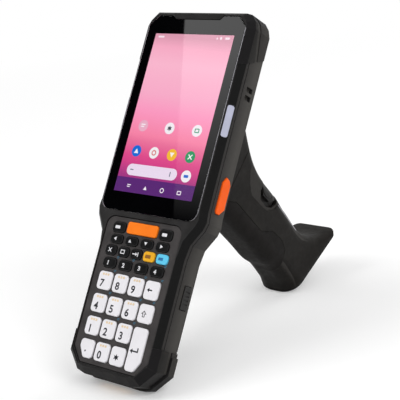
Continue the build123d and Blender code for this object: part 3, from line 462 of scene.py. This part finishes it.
def digit_mesh(name, text, x, y, height, bottom, top, squeeze=1.0, weight=digit_weight):
    """Return digits as a thin solid centred on a place of the terminal's frame."""
    words = bpy.data.curves.new(name, "FONT")
    words.body = text
    words.align_x = "CENTER"
    words.align_y = "CENTER"
    words.extrude = 0.5
    words.offset = weight
    mesh = mesh_of(words)
    low = Vector(min(v.co[i] for v in mesh.vertices) for i in range(3))
    high = Vector(max(v.co[i] for v in mesh.vertices) for i in range(3))
    size = height / (high.y - low.y)
    middle = (low + high) / 2
    mesh.transform(
        on_terminal
        @ Matrix.Translation((x, y, (bottom + top) / 2))
        @ Matrix.Diagonal((size * squeeze, size, top - bottom, 1))
        @ Matrix.Translation((-middle.x, -middle.y, 0))
    )
    mesh.use_auto_texspace = True
    return mesh


# ---------------------------------------------------------------- finishes of the CAD nodes
# painted shade darkens the sloping rim, and painted light makes the side walls lighter towards the back
dark_shell = moulded("dark_shell", colour(41, 40, 40), roughness=0.5, grain=0.4, depth=0.02,
                     specular=0.12, wear=2.6, rim=colour(12, 12, 12),
                     side_light=(colour(68, 66, 63), colour(42, 40, 39)))
dark_front = moulded("dark_front", colour(62, 59, 59), roughness=0.46, grain=0.4, depth=0.02,
                     specular=0.2)
# painted shade darkens the sloping rim, and painted light makes the side walls lighter towards the back
bumper_rubber = moulded("bumper_rubber", colour(34, 33, 33), roughness=0.6, grain=0.3,
                        depth=0.03, specular=0.12, wear=2.4, rim=colour(20, 19, 20),
                        side_light=(colour(52, 50, 48), colour(28, 27, 26)))
# painted light: the sunk face round the trigger is painted lighter than the rest of the grip
grip_plastic = moulded("grip_plastic", colour(26, 24, 22), roughness=0.58, grain=0.45,
                       depth=0.03, specular=0.1, wear=2.4, recess_light=colour(50, 48, 46))
grip_rubber = moulded("grip_rubber", colour(24, 22, 21), roughness=0.66, grain=0.35,
                      depth=0.04, specular=0.1)
trigger_plastic = moulded("trigger_plastic", colour(24, 22, 21), roughness=0.5, grain=0.4,
                          depth=0.02, specular=0.15, wear=3.0)
pad_rubber = moulded("pad_rubber", colour(24, 23, 23), roughness=0.75, grain=0.5, depth=0.05,
                     specular=0.2)
# its edges are painted much lighter, rubbed and painted highlight
black_key = moulded("black_key", colour(10, 10, 11), roughness=0.34, grain=0.3, depth=0.006,
                    specular=0.25, wear=4.0)
white_key = key_cap("white_key", (236, 234, 238), vary=0.02, wear=1.0, specular=0.2)
orange_key = key_cap("orange_key", (255, 126, 24), vary=0.05, wear=1.05, specular=0.15)
side_orange = key_cap("side_orange", (250, 96, 18), vary=0.05, wear=1.3, specular=0.15)
yellow_key = key_cap("yellow_key", (240, 176, 34), vary=0.05, wear=1.05, specular=0.2)
blue_key = key_cap("blue_key", (96, 200, 236), vary=0.05, wear=1.05, specular=0.2)
latch_plastic = moulded("latch_plastic", colour(32, 31, 30), roughness=0.5, grain=0.4,
                        depth=0.02, specular=0.25, wear=2.6)
light_pipe = moulded("light_pipe", colour(184, 186, 206), roughness=0.35, grain=0.8,
                     depth=0.004, vary=0.04, wear=1.15, specular=0.2)
mat_rubber = moulded("mat_rubber", colour(60, 60, 62), roughness=0.6, grain=0.4, depth=0.01)
display_black = moulded("display_black", colour(14, 14, 16), roughness=0.3, grain=0.4,
                        depth=0.002)
board_green = moulded("board_green", colour(30, 92, 52), roughness=0.4, grain=0.6, depth=0.01)
window_glass = moulded("window_glass", colour(30, 7, 11), roughness=0.08, grain=3.0,
                       depth=0.0005)
lens_glass = moulded("lens_glass", colour(10, 12, 20), roughness=0.06, grain=3.0,
                     depth=0.0005)
screen_glass = clear("screen_glass")
black_glass = polished("black_glass", colour(3, 3, 4))
steel = metal("steel", colour(176, 178, 182))
dark_steel = metal("dark_steel", colour(74, 74, 78), roughness=0.4)
# bright metal for thin lines that stand in for highlights, a painted highlight
highlight_metal = metal("highlight_metal", colour(168, 166, 172), roughness=0.22, brush=0.08)
gold = metal("gold", colour(196, 158, 84), roughness=0.5)

slot_finish = {
    "housing": dark_shell, "battery": dark_shell, "bumper": bumper_rubber,
    "bezel": dark_front, "mat": mat_rubber, "cover_glass": screen_glass,
    "display": display_black, "board": board_green, "latch": latch_plastic,
    "orange_key": orange_key, "white_key": white_key, "black_key": black_key,
    "yellow_key": yellow_key, "blue_key": blue_key, "light_bar": light_pipe,
    "contacts": gold, "engine": display_black, "window": window_glass,
    "lens": lens_glass, "grip": grip_plastic, "overmould": grip_rubber,
    "trigger": trigger_plastic, "pad": pad_rubber, "steel": steel,
}
node_finish = {"scan_key_left": side_orange, "scan_key_right": side_orange,
               "grip_screws": dark_steel, "housing_screws": dark_steel}
node_slot = {part["node"]: part["material_slot"] for part in frame["record"]["subparts"]}


def dress_nodes():
    """Give every CAD node its finish."""
    for name, node in nodes.items():
        finish = node_finish.get(name) or slot_finish[node_slot[name]]
        if not node.data.materials:
            node.data.materials.append(finish)
        for place in node.material_slots:
            place.material = finish


# ---------------------------------------------------------------- glass and what it shows
glass_half = 34.0
glass_end = 57.6
glass_crown_cut = 5.6
glass_foot_round = 6.0
corner_steps = 8              # how finely its foot's corners are drawn
lip_half = (15.6, 17.6)       # notch for the bumper's lip
lip_y = 55.5
screen_half = (28.08, 46.8)   # lit part of the display
screen_round = 0.3
screen_gap = 0.02             # between the picture and the black print, both sides together
bar_top = -38.3               # the violet bar ends here
# the picture is laminated into the back of the glass; the black border is in its front
picture_top = 0.03
ground_rise = (-0.05, 0.08)   # foot and face of the picture's grounds, over the picture
sign_rise = (0.02, 0.16)      # foot and face of the signs on them
glass_bevel = 0.22
print_inset = 0.15
border_depth = 0.1            # how deep the black border reaches into the glass
border_rise = 0.02            # its face over the clear glass
# the wallpaper's colours, with their heights over the middle of the display
wallpaper = (
    (-38.2, (166, 58, 132)), (-30.0, (216, 70, 138)), (-26.0, (226, 78, 142)),
    (-18.0, (238, 116, 158)), (-14.0, (250, 134, 170)), (0.0, (255, 156, 196)),
    (10.0, (252, 174, 204)), (28.0, (254, 186, 210)), (38.0, (250, 174, 200)),
    (44.5, (222, 156, 178)),
)
wallpaper_sweep = 0.03        # how far they rise across the display, as a share of its height
bar_colour = (92, 44, 118)
bar_ink = (244, 236, 246)
bar_signs = (                 # sign, place, size
    ("bars", -18.0, -43.1, 2.6), ("up", -6.0, -43.2, 2.4), ("ring", 6.0, -43.2, 2.8),
    ("frame", 18.0, -43.2, 2.8),
)
field_at = (-4.6, -33.7)      # the pale field under the icons, its size, and its two strokes
field_size = (36.0, 6.6)
field_colour = (238, 222, 242)
field_ink = (70, 90, 110)
field_strokes = ((-19.0, 2.4, 0.5), (8.6, 0.5, 2.8))
stroke_round = 0.2            # of the strokes and the bar
status_y = 44.9
status_blocks = (             # place across, width, height, rounding
    (23.6, 3.0, 1.3, 0.3), (19.2, 1.3, 1.5, 0.3), (-23.4, 4.4, 1.1, 0.4),
)
status_arrow = (16.6, 1.4)    # place across, size
status_ink = (250, 226, 236)
icon_radius = 3.35
icon_sign_size = 3.1
# round icons: place, ground, sign, its colour
icons = (
    (-19.2, -8.1, (236, 176, 200), "bars", (250, 240, 246)),
    (0.0, -8.2, (246, 240, 246), "spark", (64, 66, 78)),
    (19.2, -8.1, (246, 240, 246), "frame", (24, 150, 110)),
    (-19.2, -22.9, (30, 108, 214), "up", (244, 244, 250)),
    (-6.4, -22.9, (244, 240, 244), "ring", (212, 64, 60)),
    (6.4, -22.9, (246, 190, 60), "down", (250, 246, 236)),
    (19.2, -22.9, (38, 150, 96), "cross", (244, 246, 244)),
    (19.8, -33.7, (244, 240, 244), "block", (36, 104, 206)),
)


def glass_outline(inset=0.0):
    """Return the cover glass seen from the front."""
    half = glass_half - inset
    end = glass_end - inset
    cut = glass_crown_cut
    right = [(lip_half[0], lip_y - inset), (lip_half[1], end), (half - cut, end),
             (half, end - cut)]
    foot = []
    for i in range(corner_steps + 1):
        angle = pi / 2 * i / corner_steps
        foot.append((half - glass_foot_round * (1 - cos(angle)),
                     -end + glass_foot_round * (1 - sin(angle))))
    right += foot
    return right + [(-x, y) for x, y in right[::-1]]


def picture_material():
    """Return the wallpaper: pink from pale to hot, over a violet bar at the foot."""
    n = Nodes("screen_wallpaper")
    spot = n.add("ShaderNodeTexCoord").outputs["Generated"]
    split = n.add("ShaderNodeSeparateXYZ", Vector=spot)
    sweep = n.math("MULTIPLY", split.outputs["X"], wallpaper_sweep)
    up = n.math("ADD", split.outputs["Z"], n.math("SUBTRACT", sweep, wallpaper_sweep / 2))
    ramp = n.add("ShaderNodeValToRGB", Fac=up)
    points = ramp.color_ramp.elements
    for i, (y, rgb) in enumerate(wallpaper):
        where = (y + screen_half[1]) / (2 * screen_half[1])
        if i < 2:
            point = points[i]
            point.position = where
        else:
            point = points.new(where)
        point.color = colour(*rgb)
    return lit(n, ramp.outputs["Color"])


def add_display():
    """Add the cover glass, its black print and what the display shows."""
    wide, high = (2 * half for half in screen_half)
    glass = plate("cover_glass", [glass_outline()], 0.0, glass_face, screen_glass, "terminal",
                  "cover_glass", bevel=glass_bevel)
    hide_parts("touch_glass")
    screen_edge = rounded(0, 0, wide, high, screen_round)[::-1]
    plate("glass_print", [glass_outline(print_inset), screen_edge], glass_back, picture_top,
          black_glass, "terminal", "cover_glass")
    plate("glass_border", [glass_outline(glass_bevel), screen_edge],
          glass_face - border_depth, glass_face + border_rise, black_glass, "terminal",
          "cover_glass")
    inner = (wide - screen_gap, high - screen_gap)
    plate("screen_wallpaper", [rounded(0, 0, *inner, screen_round)],
          glass_back, picture_top, picture_material(), "terminal", "display")

    def shown(name, loops, rgb, rise=ground_rise):
        """Add a lit shape to the picture."""
        foot, face = (picture_top + value for value in rise)
        plate(name, loops, foot, face, glowing(name, colour(*rgb)), "terminal", "display")

    bar = rounded(0, (bar_top - high / 2) / 2, inner[0], bar_top + high / 2, stroke_round)
    shown("screen_bar", [bar], bar_colour)
    shown("screen_bar_signs",
          [loop for sign, *place in bar_signs for loop in moved(signs[sign], *place)],
          bar_ink, sign_rise)
    shown("screen_field", [rounded(*field_at, *field_size, field_size[1] / 2, count=10)],
          field_colour)
    shown("screen_field_signs",
          [rounded(x, field_at[1], *size, stroke_round) for x, *size in field_strokes],
          field_ink, sign_rise)
    arrow_x, arrow_size = status_arrow
    shown("screen_status_signs",
          [rounded(x, status_y, *block) for x, *block in status_blocks]
          + moved(signs["up"], arrow_x, status_y, arrow_size),
          status_ink, sign_rise)
    for number, (x, y, ground, sign, sign_ink) in enumerate(icons, 1):
        shown(f"screen_icon_{number}", [disc(x, y, icon_radius, count=40)], ground)
        shown(f"screen_icon_sign_{number}", moved(signs[sign], x, y, icon_sign_size),
              sign_ink, sign_rise)


# ---------------------------------------------------------------- thin trim, and metal lines that are painted highlights
# the terminal's own camera, in its back
lens_y = 36.0
lens_z = -24.95
lens_rings = ((3.45, 3.05), (2.2, 1.95))        # outer and inner radius of the rings round it
lens_ring_rise = 0.25
# a polished metal line, as a painted highlight, runs down each long edge of the glass and round
# the corner at its foot
edge_line_top = 51.4
edge_line_turn = radians(62.0)
edge_highlight = (0.3, 0.5, 0.94)  # its width, foot and face
edge_line_bevel = 0.06
edge_gap = 0.02               # between the line and the glass
# the grip's own measures: where its axis leaves the back, and how far it leans
grip_foot_of_axis = (-14.0, -25.2)
grip_lean = radians(17.0)
# a bright metal bead on each side of the grip, a painted highlight along its front edge
grip_highlight = ((75.3, 13.2), (78.5, 13.3), (82.0, 13.2), (88.0, 12.9), (94.0, 12.7),
             (100.0, 12.6), (105.0, 12.6))     # down the axis, forward of it
grip_line_radius = 0.28
beside_grip = 40.0            # a distance from the middle that lies outside the grip
# the trigger's skirts close the gap behind its sides, inside the grip
skirt_line = ((53.6, 9.9), (53.6, 5.6), (57.2, 4.2), (66.0, 3.8), (71.6, 6.8), (73.4, 9.9))
skirt_x = (10.5, 11.2)        # their inner and outer face


def in_grip(distance, forward, across=0.0):
    """Return a place given in the grip's own measures, in the scene's frame."""
    y0, z0 = grip_foot_of_axis
    y = y0 - distance * sin(grip_lean) + forward * cos(grip_lean)
    z = z0 - distance * cos(grip_lean) - forward * sin(grip_lean)
    return on_terminal @ Vector((across, y, z))


def add_skirts():
    """Add the trigger's skirts, which move with it and keep its gap from showing through."""
    work = bmesh.new()
    for side in (-1, 1):
        inner, outer = ([work.verts.new(in_grip(*place, side * x)) for place in skirt_line]
                        for x in skirt_x)
        work.faces.new(inner)
        work.faces.new(outer)
        for i in range(len(skirt_line)):
            work.faces.new((inner[i - 1], inner[i], outer[i], outer[i - 1]))
    bmesh.ops.recalc_face_normals(work, faces=work.faces)
    mesh = bpy.data.meshes.new("trigger_skirts")
    work.to_mesh(mesh)
    work.free()
    new_piece("trigger_skirts", mesh, trigger_plastic, "trigger")


def on_grip(distance, forward, side, skin):
    """Return the place on the side of the grip, in the scene's frame."""
    start = in_grip(distance, forward, side * beside_grip)
    return skin.ray_cast(start, Vector((-side, 0, 0)))[0]


def add_spring():
    """Add the trigger's coil spring as a copy of its CAD node, riding on the terminal."""
    mesh = nodes["trigger_spring"].data.copy()
    coil = new_piece("trigger_coil", mesh, steel, "terminal")
    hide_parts("trigger_spring")
    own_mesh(coil)


def edge_strip(side, width):
    """Return the outline of the polished metal line, a painted highlight, on one side of the glass."""
    middle_x, middle_y = glass_half - glass_foot_round, -glass_end + glass_foot_round
    turns = [edge_line_turn * i / corner_steps for i in range(corner_steps + 1)]
    near = glass_foot_round + edge_gap
    inner, outer = ([(middle_x + radius, edge_line_top)]
                    + [(middle_x + radius * cos(turn), middle_y - radius * sin(turn))
                       for turn in turns]
                    for radius in (near, near + width))
    return [(side * x, y) for x, y in inner + outer[::-1]]


def add_trim():
    """Add the camera's rings, and bright metal lines on glass and grip as painted highlights."""
    width, foot, face = edge_highlight
    strips = [edge_strip(side, width) for side in (-1, 1)]
    plate("glass_edge_highlights", strips, foot, face, highlight_metal, "terminal", "cover_glass",
          bevel=edge_line_bevel)
    for number, (outer, inner) in enumerate(lens_rings, 1):
        ring = [disc(0, lens_y, outer, count=48), disc(0, lens_y, inner, count=48)[::-1]]
        plate(f"camera_ring_{number}", ring, lens_z - lens_ring_rise, lens_z, dark_steel,
              "terminal", "lens")
    for side, name in ((-1, "left"), (1, "right")):
        shell = nodes[f"grip_shell_{name}"].data
        skin = BVHTree.FromPolygons([v.co for v in shell.vertices],
                                    [tuple(polygon.vertices) for polygon in shell.polygons])
        curve = bpy.data.curves.new(f"grip_highlight_{name}", "CURVE")
        curve.dimensions = "3D"
        curve.bevel_depth = grip_line_radius * MM
        curve.bevel_resolution = 3
        curve.use_fill_caps = True
        places = [on_grip(distance, forward, side, skin) for distance, forward in grip_highlight]
        spline = curve.splines.new("NURBS")
        spline.points.add(len(places) - 1)
        for point, place in zip(spline.points, places):
            point.co = (*place, 1)
        spline.order_u = 3
        spline.use_endpoint_u = True
        new_piece(f"grip_highlight_{name}", mesh_of(curve), highlight_metal, "terminal")


# ---------------------------------------------------------------- legends
key_ink = ink("key_ink", (24, 24, 32), 0.08)
white_ink = ink("white_ink", (226, 226, 230), 0.03)
amber_ink = ink("amber_ink", (236, 210, 172), 0.04)
blue_ink = ink("blue_ink", (52, 112, 140), 0.08)
brown_ink = moulded("brown_ink", colour(150, 96, 20))
deep_blue_ink = moulded("deep_blue_ink", colour(34, 104, 156))
ink_rise = (-0.04, 0.02)      # legends sit in the key's face and stand this far over it
digit_height = 4.3
digit_shift = (-1.25, -1.6)   # from the middle of a large key
# the three small marks over a digit: middle, pitch, size and rounding
mark_shift = (0.1, 3.45)
mark_pitch = 1.75
mark_size = (1.25, 1.2, 0.3)
# sign, size, place from the middle of the key, ink
key_signs = {
    "key_back": ("arrow", 3.0, (-1.2, 0.0), key_ink),
    "key_shift": ("shift", 3.4, (-0.9, -0.3), key_ink),
    "key_enter": ("return", 4.0, (-1.0, -0.6), key_ink),
    "key_point": ("dot", 1.0, (-0.4, -1.4), key_ink),
    "key_star": ("spark", 3.4, (-0.5, -0.6), key_ink),
    "key_left": ("left", 2.2, (-1.0, 0.1), white_ink),
    "key_up": ("up", 2.2, (-1.0, 0.1), white_ink),
    "key_down": ("down", 2.2, (-0.6, 0.1), white_ink),
    "key_right": ("right", 2.2, (-0.2, 0.1), white_ink),
    "key_escape": ("cross", 2.6, (-0.4, -0.1), white_ink),
    "key_mode": ("frame", 3.0, (-0.4, 0.0), white_ink),
    "key_tab": ("tab", 3.4, (-0.4, 0.0), white_ink),
    "key_yellow": ("block", 3.9, (-0.5, 0.0), brown_ink),
    "key_blue": ("block", 3.2, (-0.7, 0.0), deep_blue_ink),
    "key_menu": ("block", 3.5, (-0.9, 0.0), white_ink),
    "key_power": ("block", 3.5, (-0.6, 0.0), white_ink),
}
# the digits of the function keys: height, width to height, weight, place from the middle
function_digit = 2.5
function_squeeze = 1.1
function_weight = 0.04
function_shift = (-0.9, -0.1)
bezel_mark_size = 1.7
# small blue marks on the bezel, beside the keys that they belong to
bezel_marks = (
    (-12.1, -83.4), (-0.9, -83.4), (21.6, -83.4), (-11.9, -91.1), (10.4, -91.1),
    (22.0, -91.1), (-11.2, -103.3), (10.9, -103.3), (20.3, -103.3), (-0.7, -116.0),
    (10.8, -116.0),
)


def add_legends():
    """Print the digits and signs on the keys, and the small marks between them."""
    for name in sorted(n for n in nodes if n.startswith("key_")):
        if name in ("key_mat", "key_scan"):
            continue
        low, high = extent(name)
        x, y = (low.x + high.x) / 2, (low.y + high.y) / 2
        heights = (high.z + ink_rise[0], high.z + ink_rise[1])
        label = name.split("_")[1]
        slot = node_slot[name]
        if label.isdigit():
            mesh = digit_mesh(f"digit_{label}", label, x + digit_shift[0], y + digit_shift[1],
                              digit_height, *heights)
            new_piece(f"digit_{label}", mesh, key_ink, name)
            bars = [rounded(x + mark_shift[0] + mark_pitch * i, y + mark_shift[1], *mark_size)
                    for i in (-1, 0, 1)]
            plate(f"mark_{label}", bars, *heights, amber_ink, name, slot)
        elif name in key_signs:
            sign, size, (dx, dy), finish = key_signs[name]
            plate(f"sign_{label}", moved(signs[sign], x + dx, y + dy, size), *heights, finish,
                  name, slot)
        else:  # a function key, f1 to f4, which shows its digit
            mesh = digit_mesh(f"digit_{label}", label[1:], x + function_shift[0],
                              y + function_shift[1], function_digit, *heights,
                              squeeze=function_squeeze, weight=function_weight)
            new_piece(f"digit_{label}", mesh, white_ink, name)
    marks = []
    for x, y in bezel_marks:
        marks += moved(signs["bars"], x, y, bezel_mark_size)
    bezel_face = extent("keypad_bezel")[1].z
    plate("bezel_marks", marks, bezel_face + ink_rise[0], bezel_face + ink_rise[1], blue_ink,
          "terminal", "bezel")


# ---------------------------------------------------------------- stage and light
floor_radius = 6.0
floor_greys = ((0.80, 0.80, 0.80, 1), (0.82, 0.82, 0.82, 1))    # mixed by its speckle
speckle_size = 3.0
floor_glow = 0.22             # light that the camera sees on top of what falls on it
floor_fade = (0.25, 1.1)      # from where to where it turns white, in metres
world_light = 0.5             # how strongly the white surroundings light the scene
# softboxes: place and aim in metres, side, watts
softboxes = (
    ((-0.9, -1.2, 1.5), (0.0, 0.0, 0.1), 1.1, 15.0),
    ((1.3, -0.3, 1.1), (0.0, 0.0, 0.08), 0.9, 10.0),
    ((0.2, 1.4, 1.2), (0.0, 0.0, 0.1), 1.0, 8.0),
)
card_reach = 3.2              # the cards stand this many sight lengths beyond the glass
# the edge between the dark and the pale card, as its reflection runs down the glass
glare_line = ((-9.5, 56.0), (19.2, -57.6))
glare_ends = (130.0, -220.0)  # how far the cards reach up and down, on the glass
glare_spread = 150.0          # and to the sides
cards = {"dark_card": (-1, 0.0), "pale_card": (1, 1.9)}         # side, greatest light
card_fade = (0.46, 0.74)      # where it sets in and is full, as shares of their height


def seen_directly(tree):
    """Return a mask that is 1 for the camera, also in a mirror or through glass."""
    rays = tree.nodes.new("ShaderNodeLightPath")
    seen = rays.outputs["Is Camera Ray"]
    for kind in ("Is Glossy Ray", "Is Transmission Ray"):
        either = tree.nodes.new("ShaderNodeMath")
        either.operation = "MAXIMUM"
        tree.links.new(seen, either.inputs[0])
        tree.links.new(rays.outputs[kind], either.inputs[1])
        seen = either.outputs[0]
    return seen


def add_floor():
    """Add the pale floor; far away it runs into the white of the background."""
    mesh = bpy.data.meshes.new("floor")
    rim = [(x, y, 0.0) for x, y in disc(0, 0, floor_radius, 96)]
    mesh.from_pydata(rim, [], [list(range(len(rim)))])
    floor = bpy.data.objects.new("floor", mesh)
    scene.collection.objects.link(floor)
    n = Nodes("floor")
    speckle = n.spread(n.noise(speckle_size), 0.985, 1.0)
    n.feed("Base Color", n.mix(speckle, *floor_greys))
    n.feed("Roughness", 0.9)
    n.feed("Specular IOR Level", 0.0)
    seen = seen_directly(n.tree)
    away = n.add("ShaderNodeVectorMath", operation="LENGTH", Vector=n.place).outputs["Value"]
    far = n.math("MULTIPLY", n.spread(away, 0.0, 1.0, *floor_fade), seen)
    ground = n.add("ShaderNodeEmission", Color=white, Strength=1.0)
    glow = n.add("ShaderNodeEmission", Color=white, Strength=floor_glow)
    brighter = n.add("ShaderNodeAddShader")
    near = n.add("ShaderNodeMixShader", Fac=seen)
    blend = n.add("ShaderNodeMixShader", Fac=far)
    end = n.tree.nodes["Material Output"]
    for source, target, number in ((n.shader, brighter, 0), (glow, brighter, 1),
                                   (n.shader, near, 1), (brighter, near, 2),
                                   (near, blend, 1), (ground, blend, 2), (blend, end, 0)):
        n.put(target.inputs[number], source.outputs[0])
    mesh.materials.append(n.material)


def add_world():
    """Add the surroundings: white to the camera and in reflections, softer as light."""
    world = bpy.data.worlds.new("studio")
    scene.world = world
    world.use_nodes = True
    tree = world.node_tree
    ground = tree.nodes["Background"]
    ground.inputs["Color"].default_value = white
    strength = tree.nodes.new("ShaderNodeMapRange")
    tree.links.new(seen_directly(tree), strength.inputs["Value"])
    strength.inputs["To Min"].default_value = world_light
    strength.inputs["To Max"].default_value = 1.0
    tree.links.new(strength.outputs["Result"], ground.inputs["Strength"])


def add_lamps():
    """Add the soft lamps."""
    for number, (at, aim, side, watts) in enumerate(softboxes, 1):
        data = bpy.data.lights.new(f"softbox_{number}", "AREA")
        data.shape = "SQUARE"
        data.size = side
        data.energy = watts
        lamp = bpy.data.objects.new(data.name, data)
        lamp.location = at
        lamp.rotation_euler = (Vector(aim) - Vector(at)).to_track_quat("-Z", "Y").to_euler()
        lamp.visible_glossy = False
        scene.collection.objects.link(lamp)


def mirrored(x, y):
    """Return where the sight line that meets the glass at a place ends on the cards."""
    image = Vector((camera_at.x, camera_at.y, 2 * glass_face - camera_at.z))
    point = Vector((x, y, glass_face))
    return on_terminal @ (image + (point - image) * card_reach)


def add_cards():
    """Add the dark and the pale card that the glass mirrors."""
    (top_x, top_y), (foot_x, foot_y) = glare_line
    slope = (foot_x - top_x) / (foot_y - top_y)
    edge = [(top_x + (y - top_y) * slope, y) for y in glare_ends]
    for name, (side, light) in cards.items():
        outline = edge + [(x + side * glare_spread, y) for x, y in edge[::-1]]
        mesh = bpy.data.meshes.new(name)
        mesh.from_pydata([mirrored(x, y) for x, y in outline], [], [[0, 1, 2, 3]])
        card = bpy.data.objects.new(name, mesh)
        scene.collection.objects.link(card)
        n = Nodes(name)
        spot = n.add("ShaderNodeTexCoord").outputs["Generated"]
        rise = n.add("ShaderNodeSeparateXYZ", Vector=spot).outputs["Z"]
        level = n.spread(rise, 0.0, light, *card_fade)
        glow = n.add("ShaderNodeEmission", Color=white, Strength=level)
        n.put(n.tree.nodes["Material Output"].inputs["Surface"], glow.outputs[0])
        mesh.materials.append(n.material)
        card.visible_camera = False
        card.visible_diffuse = False
        card.visible_shadow = False


place_camera()
dress_nodes()
add_display()
add_trim()
add_spring()
add_skirts()
add_legends()
add_floor()
add_world()
add_lamps()
add_cards()
scene.view_settings.view_transform = "Standard"
